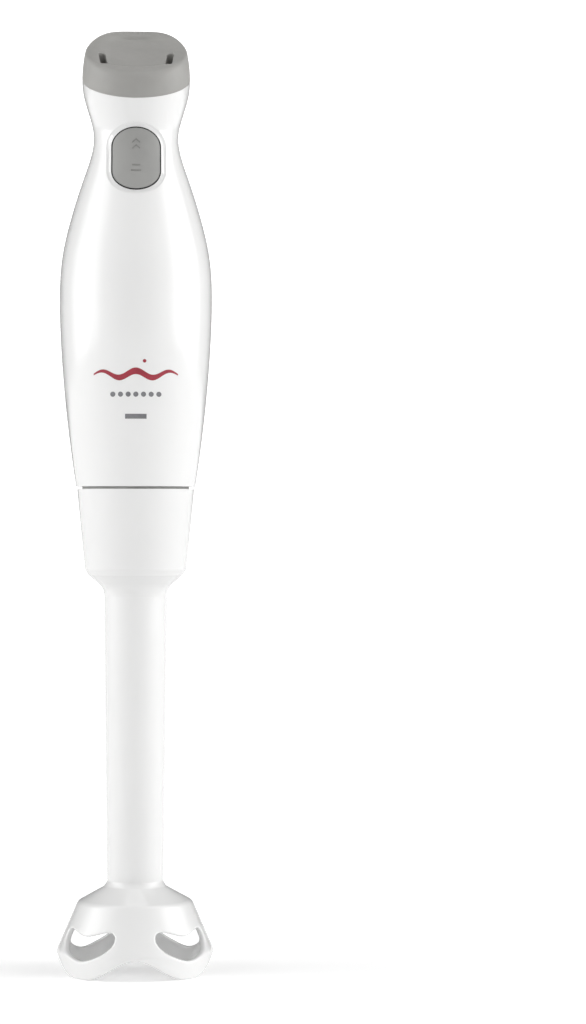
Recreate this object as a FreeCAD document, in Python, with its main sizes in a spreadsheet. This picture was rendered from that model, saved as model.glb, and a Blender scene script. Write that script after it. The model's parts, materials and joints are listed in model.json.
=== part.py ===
"""Immersion blender: a motor handle on a screw-off blending foot.

Frame: millimetres, +Z up, the origin on the floor under the middle of the bell guard.
The front, with the button, faces -Y. The motor, the drive shaft and the blade turn about Z.
"""

import FreeCAD, Part
import Sketcher
import math
import os
import re

from FreeCAD import Placement, Rotation, Vector

# Driving dimensions, in millimetres and degrees.
SIZES = {
    "beyond": 400.0,  # further than any part of the object
    "reach": 40.0,  # further than any wall from the axis
    # handle outline, from the seam up: height above the floor and outer radius at each station
    "heel_z": 193.7, "heel_radius": 23.7,
    "palm_low_z": 212.0, "palm_low_radius": 26.3,
    "palm_mid_z": 232.0, "palm_mid_radius": 28.45,
    "palm_high_z": 252.0, "palm_high_radius": 29.88,
    "bulge_z": 268.5, "bulge_radius": 30.33,
    "shoulder_low_z": 284.5, "shoulder_low_radius": 29.4,
    "shoulder_mid_z": 300.5, "shoulder_mid_radius": 25.85,
    "shoulder_high_z": 316.5, "shoulder_high_radius": 20.8,
    "throat_low_z": 326.0, "throat_low_radius": 17.72,
    "throat_z": 333.0, "throat_radius": 16.8,
    "throat_high_z": 342.0, "throat_high_radius": 18.75,
    "flare_z": 351.0, "flare_radius": 21.12,
    "crown_low_z": 357.5, "crown_low_radius": 21.47,
    "crown_mid_z": 364.0, "crown_mid_radius": 20.85,
    "crown_high_z": 371.0, "crown_high_radius": 19.5,
    "crown_top_z": 382.0, "crown_top_radius": 17.0,
    "shell_wall": 2.2,
    "shell_seam": 0.1,
    # cap: its lower edge and its top are planes that rise to the rear
    "cap_edge_z": 356.2, "cap_edge_tilt": 26.0,
    "cap_top_z": 368.4, "cap_top_tilt": 30.0,
    "cap_rounding": 1.0,
    "cap_roof": 5.2, "cap_hollow_start": 4.5,
    "cap_lip_gap": 0.12,
    "cap_lip_wall": 1.6,
    "cap_lip_drop": 4.0,
    "dish_ball_radius": 34.0, "dish_depth": 2.6, "dish_shift": 1.5,
    "eye_width": 2.8, "eye_length": 11.7, "eye_depth": 9.6, "eye_x": 14.05, "eye_y": -7.6, "eye_lean": 5.9,
    "eye_tunnel_radius": 2.3, "eye_tunnel_depth": 7.2,
    "eye_tunnel_shift": 8.0, "eye_tunnel_half_length": 13.4,
    # button, its gasket and the seat round it
    "button_z": 322.8, "button_half_width": 9.3,
    "button_straight": 10.0, "button_end": 7.2,
    "button_proud": 0.3, "button_depth": 3.5, "button_skin": 1.5, "button_side": 1.4,
    "button_flange": 1.3, "button_flange_wall": 1.0,
    "button_gap": 0.55, "gasket_inset": 0.45, "gasket_clearance": 0.1,
    "seat_width": 1.9, "seat_depth": 0.55,
    "stem_z": 323.6, "stem_radius": 2.4, "stem_root_y": -17.6, "stem_tip_y": -6.7,
    # cord inlet, at the back of the throat
    "gland_z": 349.5, "gland_bore_radius": 3.4, "gland_radius": 4.7, "gland_flange_radius": 6.2,
    "gland_inner_y": 14.2, "gland_outer_y": 23.0, "gland_flange_wall": 3.2,
    "clamp_y": 11.0, "clamp_rib_y": 8.5, "clamp_rib_z": 346.2,
    "clamp_rib_height": 6.8, "clamp_rib_width": 4.0,
    "clamp_bar_width": 18.0, "clamp_bar_depth": 5.0, "clamp_bar_height": 3.0,
    "clamp_screw_x": 6.6, "clamp_screw_radius": 1.2, "clamp_head_radius": 2.2, "clamp_head_height": 1.8,
    "clamp_screw_length": 6.0,
    # shell screws and their bosses
    "boss_radius": 4.2, "boss_hole_radius": 1.45, "boss_bore_radius": 3.0,
    "boss_low_x": 17.0, "boss_low_z": 203.6, "boss_low_bore_y": 9.5,
    "boss_high_x": 11.6, "boss_high_z": 306.2, "boss_high_bore_y": 12.5,
    "screw_head_radius": 2.7, "screw_head_height": 2.0, "screw_reach_y": 7.0,
    # air vents in the rear shell
    "vent_width": 2.0, "vent_height": 11.0, "vent_pitch": 11.0, "vent_low_z": 209.0, "vent_high_z": 311.5,
    "vent_cut_radius": 23.5, "vent_cut_length": 20.0,
    # coupling socket: the flange in the handle and the spigot that goes into the foot
    "flange_z": 195.3, "flange_thick": 3.0, "flange_radius": 21.1, "flange_hole_radius": 8.5,
    "ledge_radius": 19.7, "rib_z": 198.3, "rib_thick": 1.5,
    "spigot_radius": 19.2, "spigot_inner_radius": 17.0, "spigot_low_z": 178.7,
    "lug_angle": 83.0, "lug_radius": 20.6, "lug_z": 187.5,
    "lug_height": 2.5, "lug_sweep": 14.0, "twist_range": 30.0,
    "seal_low_z": 192.75, "seal_height": 0.9, "seal_inner_radius": 19.75, "seal_radius": 21.3,
    "splash_seal_radius": 6.6,
    # foot: collar cup and tapered tube
    "rim_z": 192.7, "rim_radius": 23.3, "cup_radius": 19.6, "cup_ledge_z": 172.0,
    "slot_radius": 20.9, "slot_clearance": 0.2, "slot_angle_clearance": 1.5,
    "collar_low_z": 160.6, "collar_low_radius": 20.15, "collar_under_z": 158.4, "collar_under_radius": 18.8,
    "collar_root_z": 152.9, "collar_root_radius": 12.4, "collar_rounding": 1.5, "root_rounding": 6.5,
    "cup_low_radius": 17.4, "cup_floor_z": 161.0, "tube_bore_radius": 9.3,
    "tube_low_z": 36.6, "tube_low_radius": 11.15,
    "plate_thick": 3.5, "plate_radius": 19.4, "plate_hub_radius": 7.6, "plate_hub_low_z": 164.5,
    "shaft_passage_radius": 3.2,
    "plate_screw_circle": 13.6, "plate_boss_radius": 3.0,
    "plate_screw_radius": 1.4, "plate_head_radius": 2.5,
    "plate_head_height": 1.6, "plate_screw_length": 9.0,
    # bell guard: a cone with four arches in its rim and four windows
    "guard_crease_z": 28.5, "guard_crease_radius": 22.8, "guard_top_z": 34.3, "guard_top_radius": 12.5,
    "guard_waist_z": 9.4, "guard_waist_radius": 31.15, "guard_rim_radius": 30.7, "guard_wall": 2.2,
    "guard_skirt_across": 2.4, "guard_crease_inner_z": 26.9, "guard_crease_inner_radius": 21.1,
    "guard_spigot_z": 44.0, "guard_spigot_radius": 9.2, "guard_bore_radius": 7.0, "guard_hub_radius": 8.4,
    "guard_hub_z": 19.0, "guard_shoulder_low_z": 32.85,
    "guard_neck_rounding": 2.0, "guard_crease_rounding": 2.4,
    "arch_height": 8.25, "arch_half_width": 21.0, "arch_sink": 0.2,
    "window_low_z": 7.3, "window_mid_z": 16.6, "window_horn_z": 18.9, "window_end_z": 15.3,
    "window_corner_z": 10.2, "window_half_width": 13.4, "window_horn_half_width": 10.45,
    "window_corner_half_width": 9.1, "window_cut_start": 18.4,
    # drive shaft, its bushes and the blade
    "shaft_radius": 2.5, "shaft_low_z": 8.6, "shaft_high_z": 184.0, "running_gap": 0.05,
    "bush_radius": 5.4, "low_bush_z": 22.0, "low_bush_length": 10.0,
    "high_bush_z": 165.0, "high_bush_length": 10.4, "lip_seal_z": 19.0, "lip_seal_height": 2.8,
    "clip_z": 32.75, "clip_radius": 4.6, "clip_groove_radius": 2.1, "clip_thick": 0.8,
    "washer_thick": 0.4, "washer_radius": 4.8,
    "blade_z": 11.2, "blade_thick": 1.2, "blade_tip_radius": 20.5, "blade_hub_disc_radius": 6.0,
    "blade_wing_width": 9.0, "blade_sweep_height": 36.0, "blade_pitch": 14.0, "blade_rest_angle": 84.0,
    "blade_collar_radius": 4.6, "blade_collar_top_z": 18.4, "blade_nut_radius": 4.3, "blade_nut_low_z": 7.4,
    # dog coupling between motor and shaft
    "dog_radius": 7.4, "dog_bore_radius": 3.2, "dog_sweep": 44.0, "dog_low_z": 181.3, "dog_high_z": 186.5,
    "driven_hub_z": 176.2, "driven_hub_top_z": 181.0, "driver_hub_low_z": 187.0, "driver_hub_top_z": 200.0,
    "driver_hub_radius": 6.5, "driver_plate_thick": 1.5,
    # motor
    "motor_shaft_top_z": 300.0, "motor_shaft_low_z": 188.5,
    "stack_z": 240.0, "stack_length": 28.0, "stack_radius": 26.0, "stack_flat": 25.0, "yoke_radius": 21.8,
    "pole_half_width": 8.0, "shoe_radius": 14.0, "shoe_thick": 2.2, "shoe_half_angle": 58.0,
    "coil_half_width": 12.5, "coil_overhang": 8.0, "coil_inner_y": 16.6, "coil_outer_y": 20.8,
    "coil_clearance": 0.3, "armature_radius": 13.5, "armature_slots": 10, "armature_slot_radius": 2.0,
    "armature_slot_circle": 10.2, "armature_mouth": 1.6,
    "winding_radius": 12.0, "winding_bore": 4.5, "winding_overhang": 7.5,
    "commutator_z": 277.0, "commutator_length": 12.0, "commutator_radius": 9.0, "commutator_bars": 20,
    "commutator_slit": 0.5, "commutator_slit_depth": 1.0,
    "fan_z": 208.3, "fan_radius": 19.0, "fan_height": 9.0, "fan_disc": 1.4, "fan_blades": 11,
    "fan_blade_thick": 1.2, "fan_hub_radius": 6.0,
    "bracket_thick": 3.0, "bracket_radius": 25.1, "bracket_hub_radius": 9.0,
    "high_bracket_z": 290.0, "high_bearing_z": 292.5, "low_bearing_z": 219.6,
    "bracket_hole_circle": 14.5, "bracket_hole_radius": 3.4, "high_hub_top_z": 299.0,
    "low_bracket_z": 226.0, "low_hub_low_z": 219.0,
    "post_circle": 23.2, "post_angle": 30.0, "post_radius": 1.7, "tie_radius": 1.2, "tie_head_radius": 1.9,
    "tie_head_height": 1.4, "bearing_radius": 6.0, "bearing_length": 6.0,
    "mount_ring_radius": 12.0, "low_web_z": 219.6, "high_web_z": 295.0,
    "web_thick": 3.0, "web_gap": 0.1,
    "air_hole_circle": 17.6, "air_hole_radius": 3.6, "air_hole_angle": 30.0,
    "brush_size": 6.0, "brush_length": 7.0, "brush_gap": 0.1,
    "brush_wall": 0.7, "brush_holder_length": 11.5,
    "brush_block": 12.0, "brush_block_x": 16.0, "brush_top_z": 286.8, "brush_holder_x": 10.6,
    "brush_spring_turns": 4.0, "brush_spring_radius": 2.0, "brush_spring_wire": 0.35,
    # switch and suppressor board
    "switch_z": 312.0, "switch_height": 20.0, "switch_half_width": 3.2, "switch_front_y": -3.0,
    "switch_depth": 10.0, "plunger_z": 319.0, "plunger_radius": 1.0, "plunger_proud": 0.9,
    "lever_low_z": 313.6, "lever_length": 16.5, "lever_thick": 0.4, "lever_half_width": 2.2,
    "lever_tilt": 12.0, "lever_y": -3.3,
    "plunger_length": 3.9, "plunger_bore_depth": 3.8, "switch_pin_radius": 1.2, "switch_pin_y": 2.5,
    "switch_pin_inset": 3.0, "terminal_width": 3.2, "terminal_length": 2.2, "terminal_thick": 0.6,
    "bracket_plate_y": -7.7, "bracket_plate_thick": 1.5, "bracket_low_z": 301.5, "bracket_top_z": 333.0,
    "bracket_width": 14.8, "bracket_ear_width": 32.0, "bracket_arm": 1.4, "button_low_z": 311.0,
    "board_y": 9.4, "board_thick": 1.6, "board_half_width": 9.0, "board_z": 311.0, "board_height": 22.0,
    "capacitor_rise": 0.5, "capacitor_width": 13.0, "capacitor_depth": 4.5,
    "capacitor_height": 8.0, "choke_radius": 1.6,
    "choke_length": 8.0, "choke_z": 323.5, "button_spring_start": -16.6,
    "spring_window_radius": 2.7, "button_spring_radius": 3.6,
    "button_spring_wire": 0.45, "button_spring_turns": 4.0,
}

STATIONS = (
    "heel", "palm_low", "palm_mid", "palm_high", "bulge", "shoulder_low", "shoulder_mid",
    "shoulder_high", "throat_low", "throat", "throat_high", "flare", "crown_low", "crown_mid",
    "crown_high", "crown_top",
)
TOUCHING = 0.01  # two places closer than this are the same
SIDES = (-1, 1)
AIR_HOLES = 6
LUGS = 3
VENT_ROWS = (("vent_low_z", 7), ("vent_high_z", 5))
PLATE_SCREW_ANGLES = ("30", "150", "270")
BRACKET_HOLE_ANGLES = ("60", "120", "240", "300")

doc = FreeCAD.newDocument("immersion_blender")
sheet = doc.addObject("Spreadsheet::Sheet", "sizes")
for row, (alias, number) in enumerate(SIZES.items(), start=1):
    sheet.set(f"A{row}", alias)
    sheet.set(f"B{row}", str(number))
    sheet.setAlias(f"B{row}", alias)
doc.recompute()

nodes = []


def formula(text):
    """The text with each size's name written as a cell of the sheet."""
    return re.sub(r"[a-z_]+", lambda w: "sizes." + w.group() if w.group() in SIZES else w.group(), str(text))


def size(text):
    """The number that a formula of sizes comes to."""
    numbers = re.sub(r"[a-z_]+", lambda w: str(SIZES.get(w.group(), w.group())), str(text))
    return FreeCAD.Units.Quantity(numbers).Value


def bind(item, **formulas):
    """Ties properties of an object to formulas of the sheet."""
    for name, text in formulas.items():
        item.setExpression(name.replace("__", "."), formula(text))
    return item


def node(item, name, at=None):
    """Marks an object as the sub-part of that name."""
    item.Label = name
    if at is not None:
        item.Placement = at
    nodes.append(item)
    return item


UP = Vector(0, 0, 1)
RIGHT = Vector(1, 0, 0)
BACK = Vector(0, 1, 0)


def put(item, x="0", y="0", z="0", angle="0", about=UP):
    """Places an object by formulas, turned by an angle about an axis through its own origin."""
    item.Placement = Placement(Vector(), Rotation(about, 1))
    return bind(
        item,
        Placement__Base__x=x,
        Placement__Base__y=y,
        Placement__Base__z=z,
        Placement__Rotation__Angle=angle,
    )


def rod(radius, length, x="0", y="0", z="0", along=UP):
    """A cylinder from a point, along one of the axes."""
    item = bind(doc.addObject("Part::Cylinder", "rod"), Radius=radius, Height=length)
    if along == RIGHT:
        return put(item, x, y, z, "90", BACK)
    if along == BACK:
        return put(item, x, y, z, "-90", RIGHT)
    return put(item, x, y, z)


def sector(radius, height, z, start, sweep):
    """A slice of a cylinder on Z, from one angle over a sweep."""
    item = bind(doc.addObject("Part::Cylinder", "sector"), Radius=radius, Height=height, Angle=sweep)
    return put(item, "0", "0", z, start)


def block(width, depth, height, x="0", y="0", z="0", angle="0"):
    """A box centred on x and y with its lower face at z, all turned about Z by an angle."""
    left = f"(({x}) - ({width}) / 2)"
    near = f"(({y}) - ({depth}) / 2)"
    item = bind(doc.addObject("Part::Box", "block"), Length=width, Width=depth, Height=height)
    across = f"{left} * cos({angle}) - {near} * sin({angle})"
    along = f"{left} * sin({angle}) + {near} * cos({angle})"
    return put(item, across, along, z, angle)


def above(height, tilt, over="0"):
    """The space above a plane that crosses the axis at a height and rises to the rear."""
    item = bind(doc.addObject("Part::Box", "space"), Length="2 * beyond", Width="2 * beyond", Height="beyond")
    middle = f"{height} + ({over}) / cos({tilt})"
    return put(item, "-beyond", f"-beyond * cos({tilt})", f"{middle} - beyond * sin({tilt})", tilt, RIGHT)


def joined(*pieces):
    item = doc.addObject("Part::MultiFuse", "joined")
    item.Shapes = list(pieces)
    return item


def shared(*pieces):
    item = doc.addObject("Part::MultiCommon", "shared")
    item.Shapes = list(pieces)
    return item


def without(base, *tools):
    item = doc.addObject("Part::Cut", "without")
    item.Base = base
    item.Tool = tools[0] if len(tools) == 1 else joined(*tools)
    return item


def revolved(name, outline, sweep=360):
    """A body turned about Z over a sweep, from the closed outline of (radius, height) formulas."""
    body = doc.addObject("PartDesign::Body", name)
    plane = next(f for f in body.Origin.OriginFeatures if f.Role == "XZ_Plane")
    sketch = body.newObject("Sketcher::SketchObject", name + "_outline")
    sketch.AttachmentSupport = [(plane, "")]
    sketch.MapMode = "FlatFace"
    corners = [Vector(size(radius), size(height), 0) for radius, height in outline]
    for index, corner in enumerate(corners):
        sketch.addGeometry(Part.LineSegment(corner, corners[(index + 1) % len(corners)]))
    for index in range(len(corners)):
        following = (index + 1) % len(corners)
        sketch.addConstraint(Sketcher.Constraint("Coincident", index, 2, following, 1))
    for index, (radius, height) in enumerate(outline):
        for kind, text, axis in (("DistanceX", radius, -2), ("DistanceY", height, -1)):
            if text == "0":
                sketch.addConstraint(Sketcher.Constraint("PointOnObject", index, 1, axis))
                continue
            constraint = Sketcher.Constraint(kind, -1, 1, index, 1, size(text))
            place = sketch.addConstraint(constraint)
            sketch.setExpression(f"Constraints[{place}]", formula(text))
    feature = body.newObject("PartDesign::Revolution", name + "_turned")
    feature.Profile = sketch
    feature.ReferenceAxis = (sketch, ["V_Axis"])
    feature.Angle = sweep
    return body


def tube(name, inner, outer, low, high):
    """A ring or tube about Z between two radii and two heights."""
    return revolved(name, [(inner, low), (outer, low), (outer, high), (inner, high)])


def rounded(form, radius, z, rounding):
    """A turned form with its circular edge at a radius and height rounded."""
    doc.recompute()
    place = Vector(size(radius), 0, size(z))
    circles = [
        index for index, edge in enumerate(form.Shape.Edges, start=1)
        if isinstance(edge.Curve, Part.Circle)
        and abs(edge.Curve.Radius - place.x) < TOUCHING
        and abs(edge.Curve.Center.z - place.z) < TOUCHING
    ]
    item = doc.addObject("Part::Fillet", "rounded")
    item.Base = form
    item.Edges = [(index, size(rounding), size(rounding)) for index in circles]
    return item


def shape_of(name, shape):
    """A form that neither a sketch nor a primitive gives, made from sizes read from the sheet."""
    item = doc.addObject("Part::Feature", name)
    item.Shape = shape
    return item


def handle_form(inset):
    """The handle's smooth turned form, made smaller all round by an inset."""
    stations = [Vector(size(f"{name}_radius") - size(inset), 0, size(f"{name}_z")) for name in STATIONS]
    profile = Part.BSplineCurve()
    profile.interpolate(stations)
    low, high = stations[0].z, stations[-1].z
    middle = [stations[-1], Vector(0, 0, high), Vector(0, 0, low), stations[0]]
    edges = [profile.toShape()] + [Part.makeLine(a, b) for a, b in zip(middle, middle[1:])]
    turned = Part.Face(Part.Wire(edges)).revolve(Vector(), UP, 360)
    return shape_of("handle_form", turned)


def pill(grow):
    """The button's outline, straight sides and elliptic ends, as a prism through the front wall."""
    half = size("button_half_width") + size(grow)
    end = size("button_end") + size(grow)
    centre = size("button_z")
    reach = size("button_straight") / 2
    front = -size("reach")
    edges = []
    for side in SIDES:
        middle = Vector(0, front, centre + side * reach)
        ellipse = Part.Ellipse(middle + Vector(half, 0, 0), middle + Vector(0, 0, side * end), middle)
        edges.append(Part.Arc(ellipse, 0, math.pi).toShape())
    edges += [
        Part.makeLine(Vector(side * half, front, centre - reach), Vector(side * half, front, centre + reach))
        for side in SIDES
    ]
    face = Part.Face(Part.Wire(Part.__sortEdges__(edges)))
    return shape_of("pill", face.extrude(Vector(0, -front - 1, 0)))


def ring_of(count, make, start=0.0):
    """What make builds at each of several evenly spaced angles."""
    return [make(str(start + 360.0 * index / count)) for index in range(count)]


def four_corners(angle):
    """The angles of four posts that stand at an angle to either side of the X axis."""
    return [f"{angle}", f"180 - {angle}", f"180 + {angle}", f"360 - {angle}"]


def polar_rod(radius, length, circle, angle, z):
    """A rod along Z, at an angle on a circle round the axis."""
    return rod(radius, length, f"{circle} * cos({angle})", f"{circle} * sin({angle})", z)


# Handle: two shells, their ribs, bosses and webs

def shell_boss_places():
    """Where each shell screw stands: its X, its height and where its head's bore ends."""
    for side in SIDES:
        yield f"{side} * boss_low_x", "boss_low_z", "boss_low_bore_y"
        yield f"{side} * boss_high_x", "boss_high_z", "boss_high_bore_y"


def shell_ribs():
    """The rings inside the shells that hold the coupling socket and the motor's rubber rings."""
    pieces = [
        tube("socket_ledge", "ledge_radius", "reach", "heel_z", "flange_z"),
        tube("socket_rib", "ledge_radius", "reach", "rib_z", "rib_z + rib_thick"),
    ]
    for z in ("low_web_z", "high_web_z"):
        web = tube("motor_web", "mount_ring_radius + web_gap", "reach", z, f"{z} + web_thick")
        holes = ring_of(
            AIR_HOLES,
            lambda angle: polar_rod("air_hole_radius", "web_thick", "air_hole_circle", angle, z),
            size("air_hole_angle"),
        )
        pieces.append(without(web, *holes))
    return pieces


def clamp_ribs():
    """Two ribs at the back of the throat that the cord clamp screws into."""
    rib = [
        block("clamp_rib_width", "gland_outer_y - clamp_rib_y", "clamp_rib_height",
              f"{side} * clamp_screw_x", "(gland_outer_y + clamp_rib_y) / 2", "clamp_rib_z")
        for side in SIDES
    ]
    passage = rod("gland_radius + web_gap", "gland_outer_y", "0", "0", "gland_z", BACK)
    holes = [
        rod("clamp_screw_radius", "clamp_screw_length", f"{side} * clamp_screw_x", "clamp_y", "clamp_rib_z")
        for side in SIDES
    ]
    return without(joined(*rib), passage, *holes)


def shells():
    """The front and rear shells, cut from one hollow form at the parting plane."""
    outside = handle_form("0")
    inside = handle_form("shell_wall")
    wall = without(outside, inside)
    lid = above("cap_edge_z", "cap_edge_tilt")
    ribs = shared(outside, joined(*shell_ribs()))
    halves = {}
    for name, side in (("front_shell", -1), ("rear_shell", 1)):
        half = block("2 * beyond", "beyond", "2 * beyond", "0", f"{side} * (beyond + shell_seam) / 2", "0")
        bosses = [
            rod("boss_radius", "reach", x, "0" if side > 0 else "-reach", z, BACK)
            for x, z, _ in shell_boss_places()
        ]
        extras = bosses + ([clamp_ribs()] if side > 0 else [])
        inner = shared(outside, joined(*extras))
        halves[name] = without(shared(joined(wall, ribs, inner), half), lid)
    front_cuts = [
        rod("boss_hole_radius", "screw_reach_y + web_gap", x, "-screw_reach_y - web_gap", z, BACK)
        for x, z, _ in shell_boss_places()
    ]
    seat = without(pill("button_gap + seat_width"), handle_form("seat_depth"))
    front = without(halves["front_shell"], pill("button_gap"), seat, *front_cuts)
    rear_cuts = []
    for x, z, bore in shell_boss_places():
        rear_cuts.append(rod("boss_hole_radius", "reach", x, "0", z, BACK))
        rear_cuts.append(rod("boss_bore_radius", "reach", x, bore, z, BACK))
    rear_cuts.append(rod("gland_radius", "reach", "0", "gland_inner_y", "gland_z", BACK))
    for z, count in VENT_ROWS:
        for index in range(count):
            angle = f"90 + {index - count // 2} * vent_pitch"
            rear_cuts.append(block("vent_cut_length", "vent_width", "vent_height", "vent_cut_radius", "0", z,
                                   angle))
    rear = without(halves["rear_shell"], *rear_cuts)
    node(front, "front_shell")
    node(rear, "rear_shell")


def shell_screws():
    screws = []
    for x, z, bore in shell_boss_places():
        screws.append(joined(
            rod("boss_hole_radius", f"{bore} + screw_reach_y", x, "-screw_reach_y", z, BACK),
            rod("screw_head_radius", "screw_head_height", x, bore, z, BACK),
        ))
    node(joined(*screws), "shell_screws")


def on_cap(item):
    """Moves a form made round the origin onto the cap's top plane."""
    return put(item, "0", "0", "cap_top_z", "cap_top_tilt", RIGHT)


def top_cap():
    """The grey cap: a dished, sloping top, a hanging bridge and a lip that plugs into the shells."""
    top = above("cap_top_z", "cap_top_tilt")
    crown = without(shared(handle_form("0"), above("cap_edge_z", "cap_edge_tilt")), top)
    doc.recompute()
    tilt = math.radians(size("cap_top_tilt"))
    normal = Vector(0, -math.sin(tilt), math.cos(tilt))
    start = Vector(0, 0, size("cap_top_z"))
    rim = [
        index for index, edge in enumerate(crown.Shape.Edges, start=1)
        if all(abs((vertex - start).dot(normal)) < TOUCHING for vertex in edge.discretize(5))
    ]
    rounded = doc.addObject("Part::Fillet", "rounded_crown")
    rounded.Base = crown
    rounded.Edges = [(index, size("cap_rounding"), size("cap_rounding")) for index in rim]
    dish = bind(doc.addObject("Part::Sphere", "dish"), Radius="dish_ball_radius")
    put(dish, "0", "-dish_shift", "dish_ball_radius - dish_depth")
    eyes = [
        block("eye_width", "eye_length", "2 * eye_depth", f"{side} * eye_x", "eye_y", "-eye_depth",
              f"{-side} * eye_lean")
        for side in SIDES
    ]
    tunnel = rod("eye_tunnel_radius", "2 * eye_tunnel_half_length", "-eye_tunnel_half_length",
                 "-eye_tunnel_shift", "-eye_tunnel_depth", RIGHT)
    cuts = on_cap(joined(dish, tunnel, *eyes))
    rear_space = block("2 * beyond", "beyond", "2 * beyond", "0", "cap_hollow_start + beyond / 2")
    lip_inside = handle_form("shell_wall + cap_lip_gap + cap_lip_wall")
    hollow = without(shared(lip_inside, rear_space), above("cap_top_z", "cap_top_tilt", "-cap_roof"))
    skirt_form = without(handle_form("shell_wall + cap_lip_gap"), lip_inside)
    skirt = without(
        shared(skirt_form, above("cap_edge_z", "cap_edge_tilt", "-cap_lip_drop")),
        above("cap_edge_z", "cap_edge_tilt", "web_gap"),
    )
    node(without(joined(rounded, skirt), cuts, hollow), "top_cap")


def button():
    """The push button, hollow behind its face, with a flange that keeps it in and a stem."""
    face = without(shared(pill("0"), handle_form("-button_proud")), handle_form("button_depth"))
    flange = without(
        shared(pill("button_flange"), handle_form("button_depth - button_flange_wall")),
        handle_form("button_depth"),
    )
    hollow = shared(pill("-button_side"), handle_form("button_skin - button_proud"))
    stem = rod("stem_radius", "stem_tip_y - stem_root_y", "0", "stem_root_y", "stem_z", BACK)
    node(joined(without(joined(face, flange), hollow), stem), "button")


def button_gasket():
    ring = without(pill("button_gap"), pill("gasket_clearance"))
    node(without(shared(ring, handle_form("gasket_inset")), handle_form("shell_wall")), "button_gasket")


def cord_inlet():
    """The gland at the back of the throat and the bar that clamps the lead inside."""
    sleeve = rod("gland_radius", "gland_outer_y - gland_inner_y", "0", "gland_inner_y", "gland_z", BACK)
    flange = rod("gland_flange_radius", "gland_flange_wall", "0", "gland_outer_y - gland_flange_wall",
                 "gland_z", BACK)
    bore = rod("gland_bore_radius", "gland_outer_y", "0", "1", "gland_z", BACK)
    node(without(joined(sleeve, without(flange, handle_form("0"))), bore), "cord_gland")

    bar = block("clamp_bar_width", "clamp_bar_depth", "clamp_bar_height", "0", "clamp_y",
                "clamp_rib_z - clamp_bar_height")
    screws = []
    holes = []
    for side in SIDES:
        x = f"{side} * clamp_screw_x"
        low = "clamp_rib_z - clamp_bar_height"
        shank = rod("clamp_screw_radius", "clamp_screw_length + clamp_bar_height", x, "clamp_y", low)
        holes.append(shank)
        head = rod("clamp_head_radius", "clamp_head_height", x, "clamp_y", f"{low} - clamp_head_height")
        screws.append(joined(shank, head))
    node(without(bar, *holes), "cord_clamp")
    node(joined(*screws), "cord_clamp_screws")


# Coupling between handle and foot

def lugs(radius, height, z, clearance, sweep):
    """Three slices of a cylinder, from each lug's place at rest."""
    return ring_of(LUGS, lambda angle: sector(radius, height, z, f"{angle} - ({clearance})", sweep),
                   size("lug_angle"))


def coupling_socket():
    """The flange held in the shells, with the spigot and its three bayonet lugs."""
    bottom = "spigot_low_z"
    profile = [
        ("flange_hole_radius", "flange_z"), ("spigot_inner_radius", "flange_z"),
        ("spigot_inner_radius", bottom), ("spigot_radius", bottom), ("spigot_radius", "flange_z"),
        ("flange_radius", "flange_z"), ("flange_radius", "flange_z + flange_thick"),
        ("flange_hole_radius", "flange_z + flange_thick"),
    ]
    catches = without(
        joined(*lugs("lug_radius", "lug_height", "lug_z", "0", "lug_sweep")),
        rod("spigot_inner_radius + web_gap", "lug_height", z="lug_z"),
    )
    node(joined(revolved("spigot", profile), catches), "coupling_socket")
    node(tube("splash_ring", "splash_seal_radius", "flange_hole_radius", "flange_z",
              "flange_z + flange_thick"), "splash_seal")
    node(tube("seam_ring", "seal_inner_radius", "seal_radius", "seal_low_z", "seal_low_z + seal_height"),
         "foot_seal")


def foot_tube():
    """The collar with its cup and L slots, and the tapered tube below it."""
    profile = [
        ("rim_radius", "rim_z"), ("cup_radius", "rim_z"), ("cup_radius", "cup_ledge_z"),
        ("cup_low_radius", "cup_ledge_z"), ("cup_low_radius", "cup_floor_z"),
        ("tube_bore_radius", "cup_floor_z"),
        ("tube_bore_radius", "tube_low_z"), ("tube_low_radius", "tube_low_z"),
        ("collar_root_radius", "collar_root_z"), ("collar_under_radius", "collar_under_z"),
        ("collar_low_radius", "collar_low_z"),
    ]
    form = revolved("foot_wall", profile)
    wall = rounded(form, "collar_low_radius", "collar_low_z", "collar_rounding")
    wall = rounded(wall, "collar_root_radius", "collar_root_z", "root_rounding")
    drop = "lug_z - slot_clearance"
    channel = "lug_height + 2 * slot_clearance"
    run = lugs("slot_radius", channel, drop, "slot_angle_clearance",
               "lug_sweep + twist_range + 2 * slot_angle_clearance")
    entries = lugs("slot_radius", "rim_z - lug_z + slot_clearance", drop,
                   "slot_angle_clearance - twist_range", "lug_sweep + 2 * slot_angle_clearance")
    bosses = [
        polar_rod("plate_boss_radius", "cup_ledge_z - cup_floor_z", "plate_screw_circle", angle,
                  "cup_floor_z")
        for angle in PLATE_SCREW_ANGLES
    ]
    holes = [
        polar_rod("plate_screw_radius", "plate_screw_length", "plate_screw_circle", angle,
                  "cup_ledge_z + plate_thick - plate_screw_length")
        for angle in PLATE_SCREW_ANGLES
    ]
    node(without(joined(wall, *bosses), *run, *entries, *holes), "foot_tube")


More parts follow.
